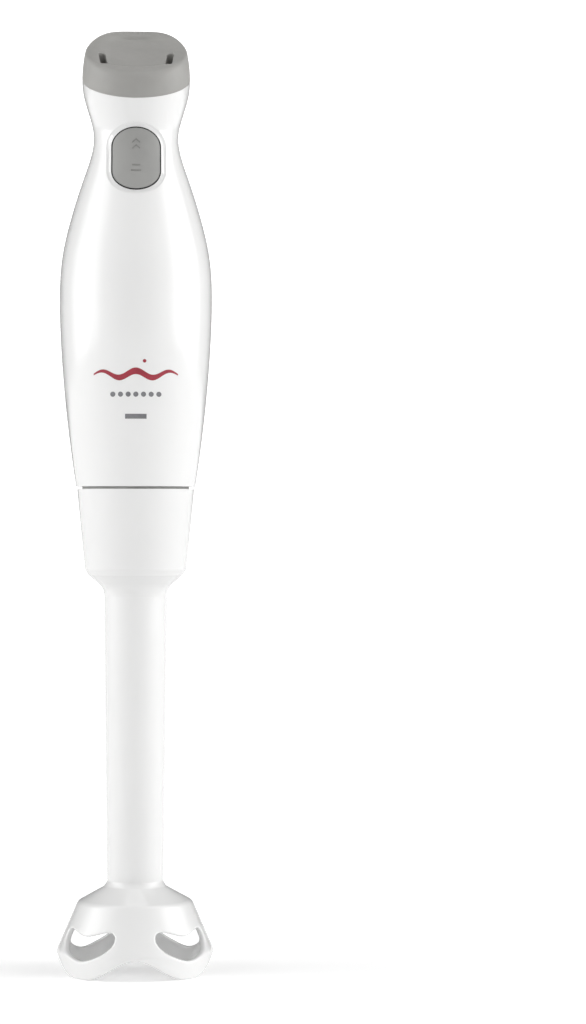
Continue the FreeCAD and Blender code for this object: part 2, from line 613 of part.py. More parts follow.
def bearing_plate():
    """The plate on the cup's ledge that holds the upper bush."""
    top = "cup_ledge_z + plate_thick"
    profile = [
        ("bush_radius", top), ("plate_radius", top), ("plate_radius", "cup_ledge_z"),
        ("plate_hub_radius", "cup_ledge_z"), ("plate_hub_radius", "plate_hub_low_z"),
        ("shaft_passage_radius", "plate_hub_low_z"), ("shaft_passage_radius", "high_bush_z"),
        ("bush_radius", "high_bush_z"),
    ]
    shanks = []
    screws = []
    for angle in PLATE_SCREW_ANGLES:
        shank = polar_rod("plate_screw_radius", "plate_screw_length", "plate_screw_circle", angle,
                          f"{top} - plate_screw_length")
        head = polar_rod("plate_head_radius", "plate_head_height", "plate_screw_circle", angle, top)
        shanks.append(shank)
        screws.append(joined(shank, head))
    node(without(revolved("plate_form", profile), *shanks), "bearing_plate")
    node(joined(*screws), "bearing_plate_screws")


def foot_bushes():
    bore = "shaft_radius + running_gap"
    node(tube("high_bush", bore, "bush_radius", "high_bush_z", "high_bush_z + high_bush_length"),
         "upper_shaft_bush")
    node(tube("low_bush", bore, "bush_radius", "low_bush_z", "low_bush_z + low_bush_length"),
         "lower_shaft_bush")
    node(tube("lip_ring", bore, "bush_radius", "lip_seal_z", "lip_seal_z + lip_seal_height"), "lip_seal")


def bell_guard():
    """The guard round the blade: four like quarters of a hub, a shoulder and an arched cone."""
    node(joined(*[put(guard_quarter(), angle=str(90 * index)) for index in range(4)]), "bell_guard")


def guard_quarter():
    """A quarter of the guard, with a window in its middle and half an arch at each side."""
    profile = [
        ("guard_rim_radius", "0"), ("guard_waist_radius", "guard_waist_z"),
        ("guard_crease_radius", "guard_crease_z"), ("guard_top_radius", "guard_top_z"),
        ("tube_low_radius", "tube_low_z"), ("guard_spigot_radius", "tube_low_z"),
        ("guard_spigot_radius", "guard_spigot_z"), ("guard_bore_radius", "guard_spigot_z"),
        ("guard_bore_radius", "low_bush_z + low_bush_length"),
        ("bush_radius", "low_bush_z + low_bush_length"),
        ("bush_radius", "guard_hub_z"), ("guard_hub_radius", "guard_hub_z"),
        ("guard_hub_radius", "guard_shoulder_low_z"), ("guard_crease_inner_radius", "guard_crease_inner_z"),
        ("guard_waist_radius - guard_skirt_across", "guard_waist_z"),
        ("guard_rim_radius - guard_skirt_across", "0"),
    ]
    quarter = revolved("guard_form", profile, 90)
    quarter = rounded(quarter, "guard_crease_radius", "guard_crease_z", "guard_crease_rounding")
    quarter = rounded(quarter, "guard_top_radius", "guard_top_z", "guard_neck_rounding")
    for cutter in arches() + [window()]:
        quarter = without(quarter, cutter)
    return quarter


def arches():
    """Two prisms across the rim, whose section is one wave of a cosine, make its four arches."""
    half = size("arch_half_width")
    front = -size("guard_rim_radius") - size("guard_wall")
    low = -size("guard_wall")
    crest = []
    for index in range(-8, 9):
        rise = (1 + math.cos(math.pi * index / 8)) / 2
        crest.append(Vector(half * index / 8, front, size("arch_height") * rise - size("arch_sink")))
    wave = Part.BSplineCurve()
    wave.interpolate(crest)
    corners = [crest[-1], Vector(half, front, low), Vector(-half, front, low), crest[0]]
    edges = [wave.toShape()] + [Part.makeLine(a, b) for a, b in zip(corners, corners[1:])]
    prism = Part.Face(Part.Wire(edges)).extrude(Vector(0, -2 * front, 0))
    return [shape_of("arch", prism), put(shape_of("arch", prism), angle="90")]


def window():
    """The prism of a window through the cone, with a low middle and raised ends."""
    right = [
        (size(f"window_{point}half_width"), size(f"window_{height}_z"))
        for point, height in (("corner_", "corner"), ("", "end"), ("horn_", "horn"))
    ]
    left = [(-across, z) for across, z in reversed(right)]
    outline = [(0, size("window_low_z"))] + right + [(0, size("window_mid_z"))] + left
    start = size("window_cut_start")
    edge = Part.BSplineCurve()
    edge.interpolate([Vector(start, across, z) for across, z in outline], PeriodicFlag=True)
    through = Vector(size("guard_rim_radius + guard_wall") - start, 0, 0)
    prism = Part.Face(Part.Wire([edge.toShape()])).extrude(through)
    return put(shape_of("window", prism), angle="45")


# Shaft line in the foot

def drive_shaft():
    profile = [
        ("0", "shaft_low_z"), ("shaft_radius", "shaft_low_z"), ("shaft_radius", "clip_z"),
        ("clip_groove_radius", "clip_z"), ("clip_groove_radius", "clip_z + clip_thick"),
        ("shaft_radius", "clip_z + clip_thick"), ("shaft_radius", "shaft_high_z"), ("0", "shaft_high_z"),
    ]
    node(revolved("shaft_form", profile), "drive_shaft")
    ring = tube("clip_ring", "clip_groove_radius", "clip_radius", "clip_z", "clip_z + clip_thick")
    gap = block("clip_radius", "shaft_radius", "2 * clip_thick", "clip_radius / 2 + shaft_radius / 2", "0",
                "clip_z - clip_thick / 2")
    node(without(ring, gap), "shaft_circlip")
    node(tube("washer_ring", "shaft_radius", "washer_radius", "clip_z - washer_thick", "clip_z"),
         "thrust_washer")


def dogs(low, high, start):
    """Two opposite teeth of the dog coupling."""
    pair = [sector("dog_radius", f"{high} - {low}", low, f"{angle} - dog_sweep / 2", "dog_sweep")
            for angle in (str(start), str(start + 180))]
    return without(joined(*pair), rod("dog_bore_radius", f"{high} - {low}", z=low))


def couplings():
    hub = tube("driven_hub", "shaft_radius", "dog_radius", "driven_hub_z", "driven_hub_top_z")
    node(joined(hub, dogs("driven_hub_top_z", "dog_high_z", 0)), "driven_coupling")
    profile = [
        ("0", "driver_hub_low_z"), ("driver_hub_radius", "driver_hub_low_z"),
        ("driver_hub_radius", "driver_hub_top_z"), ("shaft_radius", "driver_hub_top_z"),
        ("shaft_radius", "motor_shaft_low_z"), ("0", "motor_shaft_low_z"),
    ]
    plate = tube("driver_plate", "dog_bore_radius", "dog_radius", "driver_hub_low_z",
                 "driver_hub_low_z + driver_plate_thick")
    node(joined(revolved("driver_hub", profile), plate, dogs("dog_low_z", "driver_hub_low_z", 90)),
         "drive_coupling")


def blade():
    """The blade: a disc with two pitched wings, its collar above and its nut below."""
    wings = []
    for index, lean in enumerate(("blade_pitch", "-blade_pitch")):
        wing = bind(doc.addObject("Part::Box", "wing"), Length="blade_tip_radius", Width="blade_wing_width",
                    Height="blade_thick")
        middle = "blade_wing_width / 2"
        put(wing, "0", f"-{middle} * cos({lean})", f"-{middle} * sin({lean})", lean, RIGHT)
        turned = joined(wing, rod("shaft_radius", "blade_thick"))
        wings.append(put(turned, z="blade_z", angle=f"blade_rest_angle + {180 * index}"))
    reach = rod("blade_tip_radius", "blade_sweep_height", z="blade_z - blade_sweep_height / 2")
    disc = rod("blade_hub_disc_radius", "blade_thick", z="blade_z")
    bore = rod("shaft_radius", "blade_sweep_height", z="blade_z - blade_sweep_height / 2")
    collar = tube("blade_collar", "shaft_radius", "blade_collar_radius", "blade_z + blade_thick",
                  "blade_collar_top_z")
    inner = rod("blade_hub_disc_radius", "blade_sweep_height", z="blade_z - blade_sweep_height / 2")
    node(joined(without(joined(without(shared(joined(*wings), reach), inner), disc), bore), collar), "blade")
    nut = bind(doc.addObject("Part::Prism", "hexagon"), Polygon="6", Circumradius="blade_nut_radius",
               Height="blade_z - blade_nut_low_z")
    put(nut, z="blade_nut_low_z")
    node(without(nut, rod("shaft_radius", "blade_z", z="shaft_low_z")), "blade_nut")


# Motor

def stator():
    """The laminated stator with two poles, and the coils round their necks."""
    top = "stack_z + stack_length"
    ring = shared(
        tube("yoke", "yoke_radius", "stack_radius", "stack_z", top),
        block("beyond", "2 * stack_flat", "stack_length", z="stack_z"),
    )
    poles = []
    coils = []
    for side in SIDES:
        depth = "yoke_radius - shoe_radius"
        y = f"{side} * (yoke_radius + shoe_radius) / 2"
        poles.append(block("2 * pole_half_width", f"{depth} + 1", "stack_length", "0", y, "stack_z"))
        poles.append(sector("shoe_radius + shoe_thick", "stack_length", "stack_z",
                            f"90 * {side} - shoe_half_angle", "2 * shoe_half_angle"))
        winding = block("2 * coil_half_width", "coil_outer_y - coil_inner_y",
                        "stack_length + 2 * coil_overhang", "0",
                        f"{side} * (coil_inner_y + coil_outer_y) / 2", "stack_z - coil_overhang")
        neck = block("2 * (pole_half_width + coil_clearance)", "reach",
                     "stack_length + 2 * coil_clearance", "0", f"{side} * coil_outer_y",
                     "stack_z - coil_clearance")
        coils.append(without(winding, neck))
    bore = rod("shoe_radius", "stack_length", z="stack_z")
    bolts = [
        polar_rod("tie_radius", "stack_length", "post_circle", angle, "stack_z")
        for angle in four_corners("post_angle")
    ]
    node(without(joined(ring, *poles), bore, *bolts), "stator_core")
    room = rod("yoke_radius - coil_clearance", "beyond", z="0")
    node(shared(joined(*coils), room), "field_coils")


def bearing_house(name, plate_z, hub_low, hub_high, bearing_low):
    """A bracket form: a plate with a hub that has a bearing pocket in it."""
    hub = [
        ("shaft_passage_radius", hub_low), ("bracket_hub_radius", hub_low), ("bracket_hub_radius", hub_high),
        ("shaft_passage_radius", hub_high),
    ]
    plate = tube(name + "_plate", "shaft_passage_radius", "bracket_radius", plate_z,
                 f"{plate_z} + bracket_thick")
    openings = [
        polar_rod("bracket_hole_radius", "bracket_thick", "bracket_hole_circle", angle, plate_z)
        for angle in BRACKET_HOLE_ANGLES
    ]
    pocket = rod("bearing_radius", "bearing_length", z=bearing_low)
    return without(joined(revolved(name + "_hub", hub), plate), pocket, *openings)


def brackets():
    """The two motor brackets, which carry the bearings and bolt to the stator."""
    stack_top = "stack_z + stack_length"
    high_posts = []
    low_posts = []
    bores = []
    bolts = []
    for angle in four_corners("post_angle"):
        high_posts.append(polar_rod("post_radius", f"high_bracket_z - ({stack_top})", "post_circle", angle,
                                    stack_top))
        low_posts.append(polar_rod("post_radius", "stack_z - low_bracket_z", "post_circle", angle,
                                   "low_bracket_z"))
        bolt = polar_rod("tie_radius", "high_bracket_z + bracket_thick - low_bracket_z", "post_circle", angle,
                         "low_bracket_z")
        bores.append(bolt)
        head = polar_rod("tie_head_radius", "tie_head_height", "post_circle", angle,
                         "high_bracket_z + bracket_thick")
        bolts.append(joined(bolt, head))
    blocks = [
        block("brush_block", "brush_block", "high_bracket_z - brush_top_z", f"{side} * brush_block_x", "0",
              "brush_top_z")
        for side in SIDES
    ]
    high = bearing_house("high", "high_bracket_z", "high_bracket_z", "high_hub_top_z", "high_bearing_z")
    low = bearing_house("low", "low_bracket_z", "low_hub_low_z", "low_bracket_z + bracket_thick",
                        "low_bearing_z")
    node(without(joined(high, *high_posts, *blocks), *bores), "upper_bracket")
    node(without(joined(low, *low_posts), *bores), "lower_bracket")
    node(joined(*bolts), "motor_bolts")


def bearings():
    bore = "shaft_radius + running_gap"
    node(tube("high_bearing", bore, "bearing_radius", "high_bearing_z", "high_bearing_z + bearing_length"),
         "upper_bearing")
    node(tube("low_bearing", bore, "bearing_radius", "low_bearing_z", "low_bearing_z + bearing_length"),
         "lower_bearing")
    node(tube("high_ring", "bracket_hub_radius", "mount_ring_radius", "high_web_z", "high_web_z + web_thick"),
         "upper_mount_ring")
    node(tube("low_ring", "bracket_hub_radius", "mount_ring_radius", "low_web_z", "low_web_z + web_thick"),
         "lower_mount_ring")


def brush_gear():
    """Both brushes on the commutator, each in a box with a spring behind it."""
    middle = "(brush_top_z - brush_size / 2 - brush_wall - brush_gap)"
    outer = "brush_size + 2 * brush_wall + 2 * brush_gap"
    passage = "brush_size + 2 * brush_gap"
    holders = []
    brushes = []
    springs = []
    for side in SIDES:
        box_x = f"{side} * (brush_holder_x + brush_holder_length / 2)"
        case = block("brush_holder_length", outer, outer, box_x, "0", f"{middle} - ({outer}) / 2")
        room = block("brush_holder_length", passage, passage, f"{box_x} - {side} * brush_wall", "0",
                     f"{middle} - ({passage}) / 2")
        holders.append(without(case, room))
        brush = block("brush_length", "brush_size", "brush_size",
                      f"{side} * (commutator_radius + brush_length / 2)", "0", f"{middle} - brush_size / 2")
        face = rod("commutator_radius + brush_gap", "2 * brush_size", z=f"{middle} - brush_size")
        brushes.append(without(brush, face))
        spring_x = "commutator_radius + brush_length"
        length = f"brush_holder_x + brush_holder_length - brush_wall - ({spring_x})"
        springs.append(coil_spring(
            "brush_spring", size("brush_spring_radius"), size("brush_spring_wire"),
            size("brush_spring_turns"), size(length),
            Vector(side * size(spring_x), 0, size(middle)), Vector(side, 0, 0),
        ))
    node(joined(*holders), "brush_holders")
    node(joined(*brushes), "carbon_brushes")
    node(joined(*springs), "brush_springs")


def coil_spring(name, radius, wire, turns, length, start, along):
    """A wire helix from a point along a direction, within its two end planes."""
    pitch = (length - 2 * wire) / turns
    helix = Part.makeHelix(pitch, pitch * turns, radius)
    profile = Part.Wire(Part.Circle(Vector(radius, 0, 0), BACK, wire).toShape())
    spring = Part.Wire(helix).makePipeShell([profile], True, True)
    spring.translate(Vector(0, 0, wire))
    spring.Placement = Placement(start, Rotation(UP, along)).multiply(spring.Placement)
    return shape_of(name, spring)


def rotor():
    """The wound armature, commutator and fan on the motor's shaft."""
    top = "stack_z + stack_length"
    node(rod("shaft_radius", "motor_shaft_top_z - motor_shaft_low_z", z="motor_shaft_low_z"), "motor_shaft")
    count = int(size("armature_slots"))
    slots = ring_of(count, lambda angle: polar_rod(
        "armature_slot_radius", "stack_length", "armature_slot_circle", angle, "stack_z"))
    mouths = ring_of(count, lambda angle: block(
        "armature_radius", "armature_mouth", "stack_length",
        "armature_slot_circle + armature_radius / 2", "0", "stack_z", angle))
    core = tube("armature_ring", "shaft_radius", "armature_radius", "stack_z", top)
    node(without(core, *slots, *mouths), "armature_core")
    ends = [
        tube("winding_end", "winding_bore", "winding_radius", low, high)
        for low, high in (("stack_z - winding_overhang", "stack_z"), (top, f"{top} + winding_overhang"))
    ]
    wires = ring_of(count, lambda angle: polar_rod(
        "armature_slot_radius", "stack_length", "armature_slot_circle", angle, "stack_z"))
    node(joined(*ends, *wires), "armature_windings")
    drum = tube("drum", "shaft_radius", "commutator_radius", "commutator_z",
                "commutator_z + commutator_length")
    slits = ring_of(int(size("commutator_bars")), lambda angle: block(
        "2 * commutator_slit_depth", "commutator_slit", "commutator_length", "commutator_radius", "0",
        "commutator_z", angle))
    node(without(drum, *slits), "commutator")
    disc = tube("fan_disc_form", "shaft_radius", "fan_radius", "fan_z", "fan_z + fan_disc")
    hub = tube("fan_hub", "shaft_radius", "fan_hub_radius", "fan_z", "fan_z + fan_height")
    vanes = ring_of(int(size("fan_blades")), lambda angle: block(
        "fan_radius", "fan_blade_thick", "fan_height", "fan_hub_radius / 2 + fan_radius / 2",
        "0", "fan_z", angle))
    rim = rod("fan_radius", "fan_height", z="fan_z")
    bore = rod("shaft_radius", "fan_height", z="fan_z")
    node(without(shared(joined(disc, hub, *vanes), rim), bore), "fan")


# Switch and suppressor board

def switch_bracket():
    """The plate over the front bosses, with two arms that hold the switch on pins."""
    plate_y = "bracket_plate_y - bracket_plate_thick / 2"
    ears = block("bracket_ear_width", "bracket_plate_thick", "button_low_z - bracket_low_z", "0", plate_y,
                 "bracket_low_z")
    blade_plate = block("bracket_width", "bracket_plate_thick", "bracket_top_z - bracket_low_z", "0", plate_y,
                        "bracket_low_z")
    arms = [
        block("bracket_arm", "board_y - bracket_plate_y", "bracket_top_z - switch_z",
              f"{side} * (switch_half_width + web_gap + bracket_arm / 2)", "(board_y + bracket_plate_y) / 2",
              "switch_z")
        for side in SIDES
    ]
    pins = switch_pins()
    window = rod("spring_window_radius", "reach", "0", "bracket_plate_y - 2 * bracket_plate_thick",
                 "stem_z", BACK)
    bosses = [
        rod("boss_radius + web_gap", "reach", f"{side} * boss_high_x", "-reach", "boss_high_z", BACK)
        for side in SIDES
    ]
    passage = block("2 * switch_half_width", "board_y - switch_front_y", "beyond", "0",
                    "(board_y + switch_front_y) / 2", "0")
    arms_and_plate = joined(ears, blade_plate, *arms)
    node(joined(without(arms_and_plate, window, passage, *bosses), *pins), "switch_bracket")


def switch_pins():
    return [
        rod("switch_pin_radius", "2 * (switch_half_width + web_gap)", "-switch_half_width - web_gap",
            "switch_pin_y", z, RIGHT)
        for z in ("switch_z + switch_pin_inset", "switch_z + switch_height - switch_pin_inset")
    ]


def switch():
    """The snap switch behind the button: its body, plunger, lever and terminals."""
    case = block("2 * switch_half_width", "switch_depth", "switch_height", "0",
                 "switch_front_y + switch_depth / 2", "switch_z")
    bore = rod("plunger_radius + web_gap", "plunger_bore_depth", "0", "switch_front_y", "plunger_z", BACK)
    node(without(case, bore, *switch_pins()), "switch_body")
    node(rod("plunger_radius", "plunger_length", "0", "switch_front_y - plunger_proud", "plunger_z", BACK),
         "switch_plunger")
    lever = bind(doc.addObject("Part::Box", "lever"), Length="2 * lever_half_width", Width="lever_thick",
                 Height="lever_length")
    put(lever, "-lever_half_width", "lever_y - lever_thick", "lever_low_z", "lever_tilt", RIGHT)
    node(lever, "switch_lever")
    terminals = [
        block("terminal_width", "terminal_length", "terminal_thick", "0",
              "switch_front_y + switch_depth + terminal_length / 2", f"switch_z + switch_height * {share}")
        for share in (0.2, 0.5, 0.8)
    ]
    node(joined(*terminals), "switch_terminals")


def board():
    """The suppressor board behind the switch, with its capacitor and choke."""
    node(block("2 * board_half_width", "board_thick", "board_height", "0", "board_y + board_thick / 2",
               "board_z"), "emc_board")
    back = "board_y + board_thick"
    node(block("capacitor_width", "capacitor_depth", "capacitor_height", "0", f"{back} + capacitor_depth / 2",
               "board_z + capacitor_rise"), "emc_capacitor")
    node(rod("choke_radius", "choke_length", "-choke_length / 2", f"{back} + choke_radius", "choke_z", RIGHT),
         "emc_choke")


def button_spring():
    start = size("button_spring_start")
    length = size("bracket_plate_y - bracket_plate_thick") - start
    spring = coil_spring(
        "stem_spring", size("button_spring_radius"), size("button_spring_wire"), size("button_spring_turns"),
        length, Vector(0, start, size("stem_z")), BACK,
    )
    node(spring, "button_spring")


def build():
    """Makes every sub-part, checks it and writes it to its own file."""
    for make in (
        shells, shell_screws, top_cap, button, button_gasket, cord_inlet, coupling_socket, foot_tube,
        bearing_plate, foot_bushes, bell_guard, drive_shaft, couplings, blade, stator, brackets, bearings,
        brush_gear, rotor, switch_bracket, switch, board, button_spring,
    ):
        make()
    doc.recompute()
    failed = [item.Label for item in doc.Objects if {"Invalid", "Error"} & set(item.State)]
    if failed:
        raise RuntimeError(f"objects that failed: {failed}")
    os.makedirs("parts", exist_ok=True)
    for item in nodes:
        shape = item.Shape
        if shape.isNull() or not shape.isValid() or not shape.Solids:
            raise RuntimeError(f"{item.Label} has no valid shape")
        shape.exportStep(f"parts/{item.Label}.step")


build()
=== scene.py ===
"""Immersion blender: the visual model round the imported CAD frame, its materials, camera and light."""

import bpy
import bmesh
import json
import math
import numpy
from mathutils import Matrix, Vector
from mathutils.geometry import delaunay_2d_cdt


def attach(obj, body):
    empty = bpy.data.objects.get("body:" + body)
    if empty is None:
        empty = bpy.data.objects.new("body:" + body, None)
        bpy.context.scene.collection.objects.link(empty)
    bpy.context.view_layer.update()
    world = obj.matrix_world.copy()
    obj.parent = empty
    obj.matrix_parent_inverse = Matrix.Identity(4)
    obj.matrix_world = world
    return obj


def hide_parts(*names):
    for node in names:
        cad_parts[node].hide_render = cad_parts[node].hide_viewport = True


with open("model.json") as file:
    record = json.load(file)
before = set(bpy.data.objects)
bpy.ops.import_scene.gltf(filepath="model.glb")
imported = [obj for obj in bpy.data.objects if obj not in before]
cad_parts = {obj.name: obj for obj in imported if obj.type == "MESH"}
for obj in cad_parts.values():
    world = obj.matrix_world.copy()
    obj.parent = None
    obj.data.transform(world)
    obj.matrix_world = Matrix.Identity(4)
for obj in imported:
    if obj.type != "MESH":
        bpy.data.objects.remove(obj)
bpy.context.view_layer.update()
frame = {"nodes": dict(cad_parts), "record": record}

MM = 0.001


# Materials: one function each, all procedural, in object space

def material(name, colour, roughness, metallic=0.0, **inputs):
    """A plain shader with its fixed numbers set on its own sockets."""
    made = bpy.data.materials.new(name)
    made.use_nodes = True
    shader = made.node_tree.nodes["Principled BSDF"]
    shader.inputs["Base Color"].default_value = (*colour, 1.0)
    shader.inputs["Roughness"].default_value = roughness
    shader.inputs["Metallic"].default_value = metallic
    for key, value in inputs.items():
        shader.inputs[key.replace("_", " ")].default_value = value
    return made, made.node_tree, shader


def noise(tree, scale, detail=2.0, stretch=(1.0, 1.0, 1.0)):
    """A noise value in the object's own space, in features of 1 / scale metres."""
    place = tree.nodes.new("ShaderNodeTexCoord")
    spread = tree.nodes.new("ShaderNodeMapping")
    spread.inputs["Scale"].default_value = stretch
    texture = tree.nodes.new("ShaderNodeTexNoise")
    texture.inputs["Scale"].default_value = scale
    texture.inputs["Detail"].default_value = detail
    tree.links.new(place.outputs["Object"], spread.inputs["Vector"])
    tree.links.new(spread.outputs["Vector"], texture.inputs["Vector"])
    return texture.outputs["Fac"]


def spread_between(tree, value, low, high):
    """The value mapped from its middle range onto low to high."""
    ranged = tree.nodes.new("ShaderNodeMapRange")
    ranged.inputs["From Min"].default_value = 0.3
    ranged.inputs["From Max"].default_value = 0.7
    ranged.inputs["To Min"].default_value = low
    ranged.inputs["To Max"].default_value = high
    tree.links.new(value, ranged.inputs["Value"])
    return ranged.outputs["Result"]


def vary_roughness(tree, shader, value, low, high):
    tree.links.new(spread_between(tree, value, low, high), shader.inputs["Roughness"])


def vary_colour(tree, shader, value, first, second):
    """Mixes two close colours by a value over the surface."""
    ramp = tree.nodes.new("ShaderNodeValToRGB")
    ramp.color_ramp.elements[0].position = 0.35
    ramp.color_ramp.elements[1].position = 0.65
    ramp.color_ramp.elements[0].color = (*first, 1.0)
    ramp.color_ramp.elements[1].color = (*second, 1.0)
    tree.links.new(value, ramp.inputs["Fac"])
    tree.links.new(ramp.outputs["Color"], shader.inputs["Base Color"])


def bump(tree, shader, value, depth, strength=1.0):
    """Raises the surface by a value times a depth in metres."""
    node = tree.nodes.new("ShaderNodeBump")
    node.inputs["Strength"].default_value = strength
    node.inputs["Distance"].default_value = depth
    tree.links.new(value, node.inputs["Height"])
    tree.links.new(node.outputs["Normal"], shader.inputs["Normal"])


def shaded(colour, share):
    """A colour scaled by a share."""
    return tuple(channel * share for channel in colour)


def white_gloss():
    """Polished white shell plastic, with the faint waviness of a moulding."""
    colour = (0.88, 0.88, 0.875)
    made, tree, shader = material("white_gloss", colour, 0.12, Coat_Weight=0.8, Coat_Roughness=0.05)
    vary_roughness(tree, shader, noise(tree, 90.0), 0.10, 0.17)
    vary_colour(tree, shader, noise(tree, 18.0), shaded(colour, 0.985), colour)
    bump(tree, shader, noise(tree, 140.0, 1.0), 0.00001)
    return made


def white_satin():
    """White plastic of the foot, a little less polished, with fine scuffs."""
    colour = (0.86, 0.86, 0.855)
    made, tree, shader = material("white_satin", colour, 0.2, Coat_Weight=0.7, Coat_Roughness=0.08)
    vary_roughness(tree, shader, noise(tree, 120.0, 4.0), 0.16, 0.27)
    vary_colour(tree, shader, noise(tree, 25.0), shaded(colour, 0.98), colour)
    bump(tree, shader, noise(tree, 260.0, 2.0), 0.00001)
    return made


def soft_grey(name, colour, grain):
    """Grey soft-touch plastic: a fine even grain and a broad soft gloss."""
    made, tree, shader = material(name, colour, 0.5, Sheen_Weight=0.08, Sheen_Roughness=0.5)
    vary_roughness(tree, shader, noise(tree, 300.0, 3.0), 0.42, 0.55)
    vary_colour(tree, shader, noise(tree, 60.0, 3.0), shaded(colour, 0.95), shaded(colour, 1.04))
    bump(tree, shader, noise(tree, 2600.0, 2.0), grain, 0.5)
    return made


def rubber(name, colour):
    """Dull rubber, a little uneven in gloss and shade."""
    made, tree, shader = material(name, colour, 0.65)
    vary_roughness(tree, shader, noise(tree, 400.0, 3.0), 0.55, 0.75)
    vary_colour(tree, shader, noise(tree, 80.0), shaded(colour, 0.85), shaded(colour, 1.15))
    bump(tree, shader, noise(tree, 1500.0, 2.0), 0.00002, 0.5)
    return made


def plastic(name, colour, low, high):
    """Moulded technical plastic, with glass-fibre mottling."""
    made, tree, shader = material(name, colour, low)
    vary_roughness(tree, shader, noise(tree, 500.0, 4.0), low, high)
    mottling = noise(tree, 220.0, 4.0, (1.0, 1.0, 0.3))
    vary_colour(tree, shader, mottling, shaded(colour, 0.9), shaded(colour, 1.08))
    bump(tree, shader, noise(tree, 1200.0, 2.0), 0.000015, 0.4)
    return made


def steel(name, colour, low, high, stretch):
    """Metal with a grain along one direction, from grinding, turning or drawing."""
    made, tree, shader = material(name, colour, low, 1.0, Anisotropic=0.4)
    grain = noise(tree, 400.0, 5.0, stretch)
    vary_roughness(tree, shader, grain, low, high)
    vary_colour(tree, shader, noise(tree, 150.0, 3.0), shaded(colour, 0.93), colour)
    bump(tree, shader, grain, 0.000006, 0.6)
    return made


def wound(name, colour):
    """Enamelled wire laid side by side, as fine ribs along Z with a wavy lay, with painted shade darkening
    the troughs between the wires.
    """
    made, tree, shader = material(name, colour, 0.3, 0.85)
    place = tree.nodes.new("ShaderNodeTexCoord")
    ribs_and_trough_shade = tree.nodes.new("ShaderNodeTexWave")
    ribs_and_trough_shade.bands_direction = "X"
    ribs_and_trough_shade.inputs["Scale"].default_value = 700.0
    ribs_and_trough_shade.inputs["Distortion"].default_value = 1.2
    tree.links.new(place.outputs["Object"], ribs_and_trough_shade.inputs["Vector"])
    vary_roughness(tree, shader, noise(tree, 300.0), 0.25, 0.4)
    # painted shade: the colour falls to 0.55 of the copper in the troughs between the wires, following the
    # ribs' bump
    vary_colour(tree, shader, ribs_and_trough_shade.outputs["Fac"], shaded(colour, 0.55), colour)
    bump(tree, shader, ribs_and_trough_shade.outputs["Fac"], 0.0001)
    return made


def laminated(name, colour):
    """A stack of thin steel sheets, seen as fine lines across Z."""
    made, tree, shader = material(name, colour, 0.4, 0.9)
    place = tree.nodes.new("ShaderNodeTexCoord")
    sheets = tree.nodes.new("ShaderNodeTexWave")
    sheets.bands_direction = "Z"
    sheets.inputs["Scale"].default_value = 320.0
    tree.links.new(place.outputs["Object"], sheets.inputs["Vector"])
    vary_roughness(tree, shader, noise(tree, 300.0), 0.3, 0.5)
    vary_colour(tree, shader, sheets.outputs["Fac"], shaded(colour, 0.6), colour)
    bump(tree, shader, sheets.outputs["Fac"], 0.00005)
    return made


def printed(name, colour):
    """Ink on a shell or button: a slightly uneven matt film."""
    made, tree, shader = material(name, colour, 0.35)
    vary_roughness(tree, shader, noise(tree, 600.0, 3.0), 0.3, 0.42)
    vary_colour(tree, shader, noise(tree, 350.0, 3.0), shaded(colour, 0.88), shaded(colour, 1.1))
    bump(tree, shader, noise(tree, 1500.0, 2.0), 0.000004, 0.4)
    return made


def finishes():
    """The material of every slot of the record."""
    return {
        "shell_white": white_gloss(),
        "foot_white": white_satin(),
        "cap_grey": soft_grey("cap_soft_grey", (0.35, 0.345, 0.33), 0.00003),
        "button_grey": soft_grey("button_soft_grey", (0.33, 0.33, 0.32), 0.00002),
        "gasket_black": rubber("gasket_rubber", (0.012, 0.012, 0.012)),
        "seam_rubber": rubber("seam_rubber_grey", (0.5, 0.5, 0.49)),
        "inner_plastic": plastic("natural_plastic", (0.56, 0.56, 0.53), 0.3, 0.42),
        "black_plastic": plastic("filled_black_plastic", (0.02, 0.02, 0.022), 0.35, 0.5),
        "blade_steel": steel("ground_blade_steel", (0.60, 0.60, 0.61), 0.16, 0.3, (1.0, 0.2, 1.0)),
        "shaft_steel": steel("turned_shaft_steel", (0.52, 0.52, 0.53), 0.15, 0.28, (0.3, 0.3, 6.0)),
        "screw_steel": steel("plated_screw_steel", (0.42, 0.42, 0.43), 0.25, 0.4, (1.0, 1.0, 3.0)),
        "lamination_steel": laminated("stacked_steel", (0.30, 0.31, 0.33)),
        "copper_wire": wound("enamelled_copper", (0.62, 0.24, 0.08)),
        "commutator_copper": steel("turned_copper", (0.72, 0.36, 0.20), 0.2, 0.34, (0.2, 0.2, 8.0)),
        "bronze": steel("sintered_bronze", (0.52, 0.36, 0.16), 0.4, 0.55, (1.0, 1.0, 1.0)),
        "brass_sheet": steel("rolled_brass", (0.70, 0.54, 0.22), 0.22, 0.35, (3.0, 0.3, 0.3)),
        "carbon": plastic("pressed_carbon", (0.02, 0.02, 0.022), 0.5, 0.7),
        "spring_steel": steel("drawn_spring_steel", (0.50, 0.50, 0.51), 0.2, 0.32, (1.0, 1.0, 2.0)),
        "board_laminate": plastic("board_laminate_brown", (0.26, 0.16, 0.05), 0.35, 0.5),
        "capacitor_yellow": plastic("capacitor_case", (0.70, 0.44, 0.04), 0.2, 0.3),
    }


FINISH = finishes()
SLOT_OF = {row["node"]: row["material_slot"] for row in frame["record"]["subparts"]}


def finish_cad_nodes():
    """Every piece carried over from the CAD gets the material of its slot."""
    for name, item in frame["nodes"].items():
        item.data.materials.clear()
        item.data.materials.append(FINISH[SLOT_OF[name]])


finish_cad_nodes()


# Mesh tools: pieces are gathered in millimetres and stored in metres

WELD = 0.002  # points nearer than this become one
CLEAR_SHARE = 0.6  # how far a sheet's inner points stay from its borders, in spacings


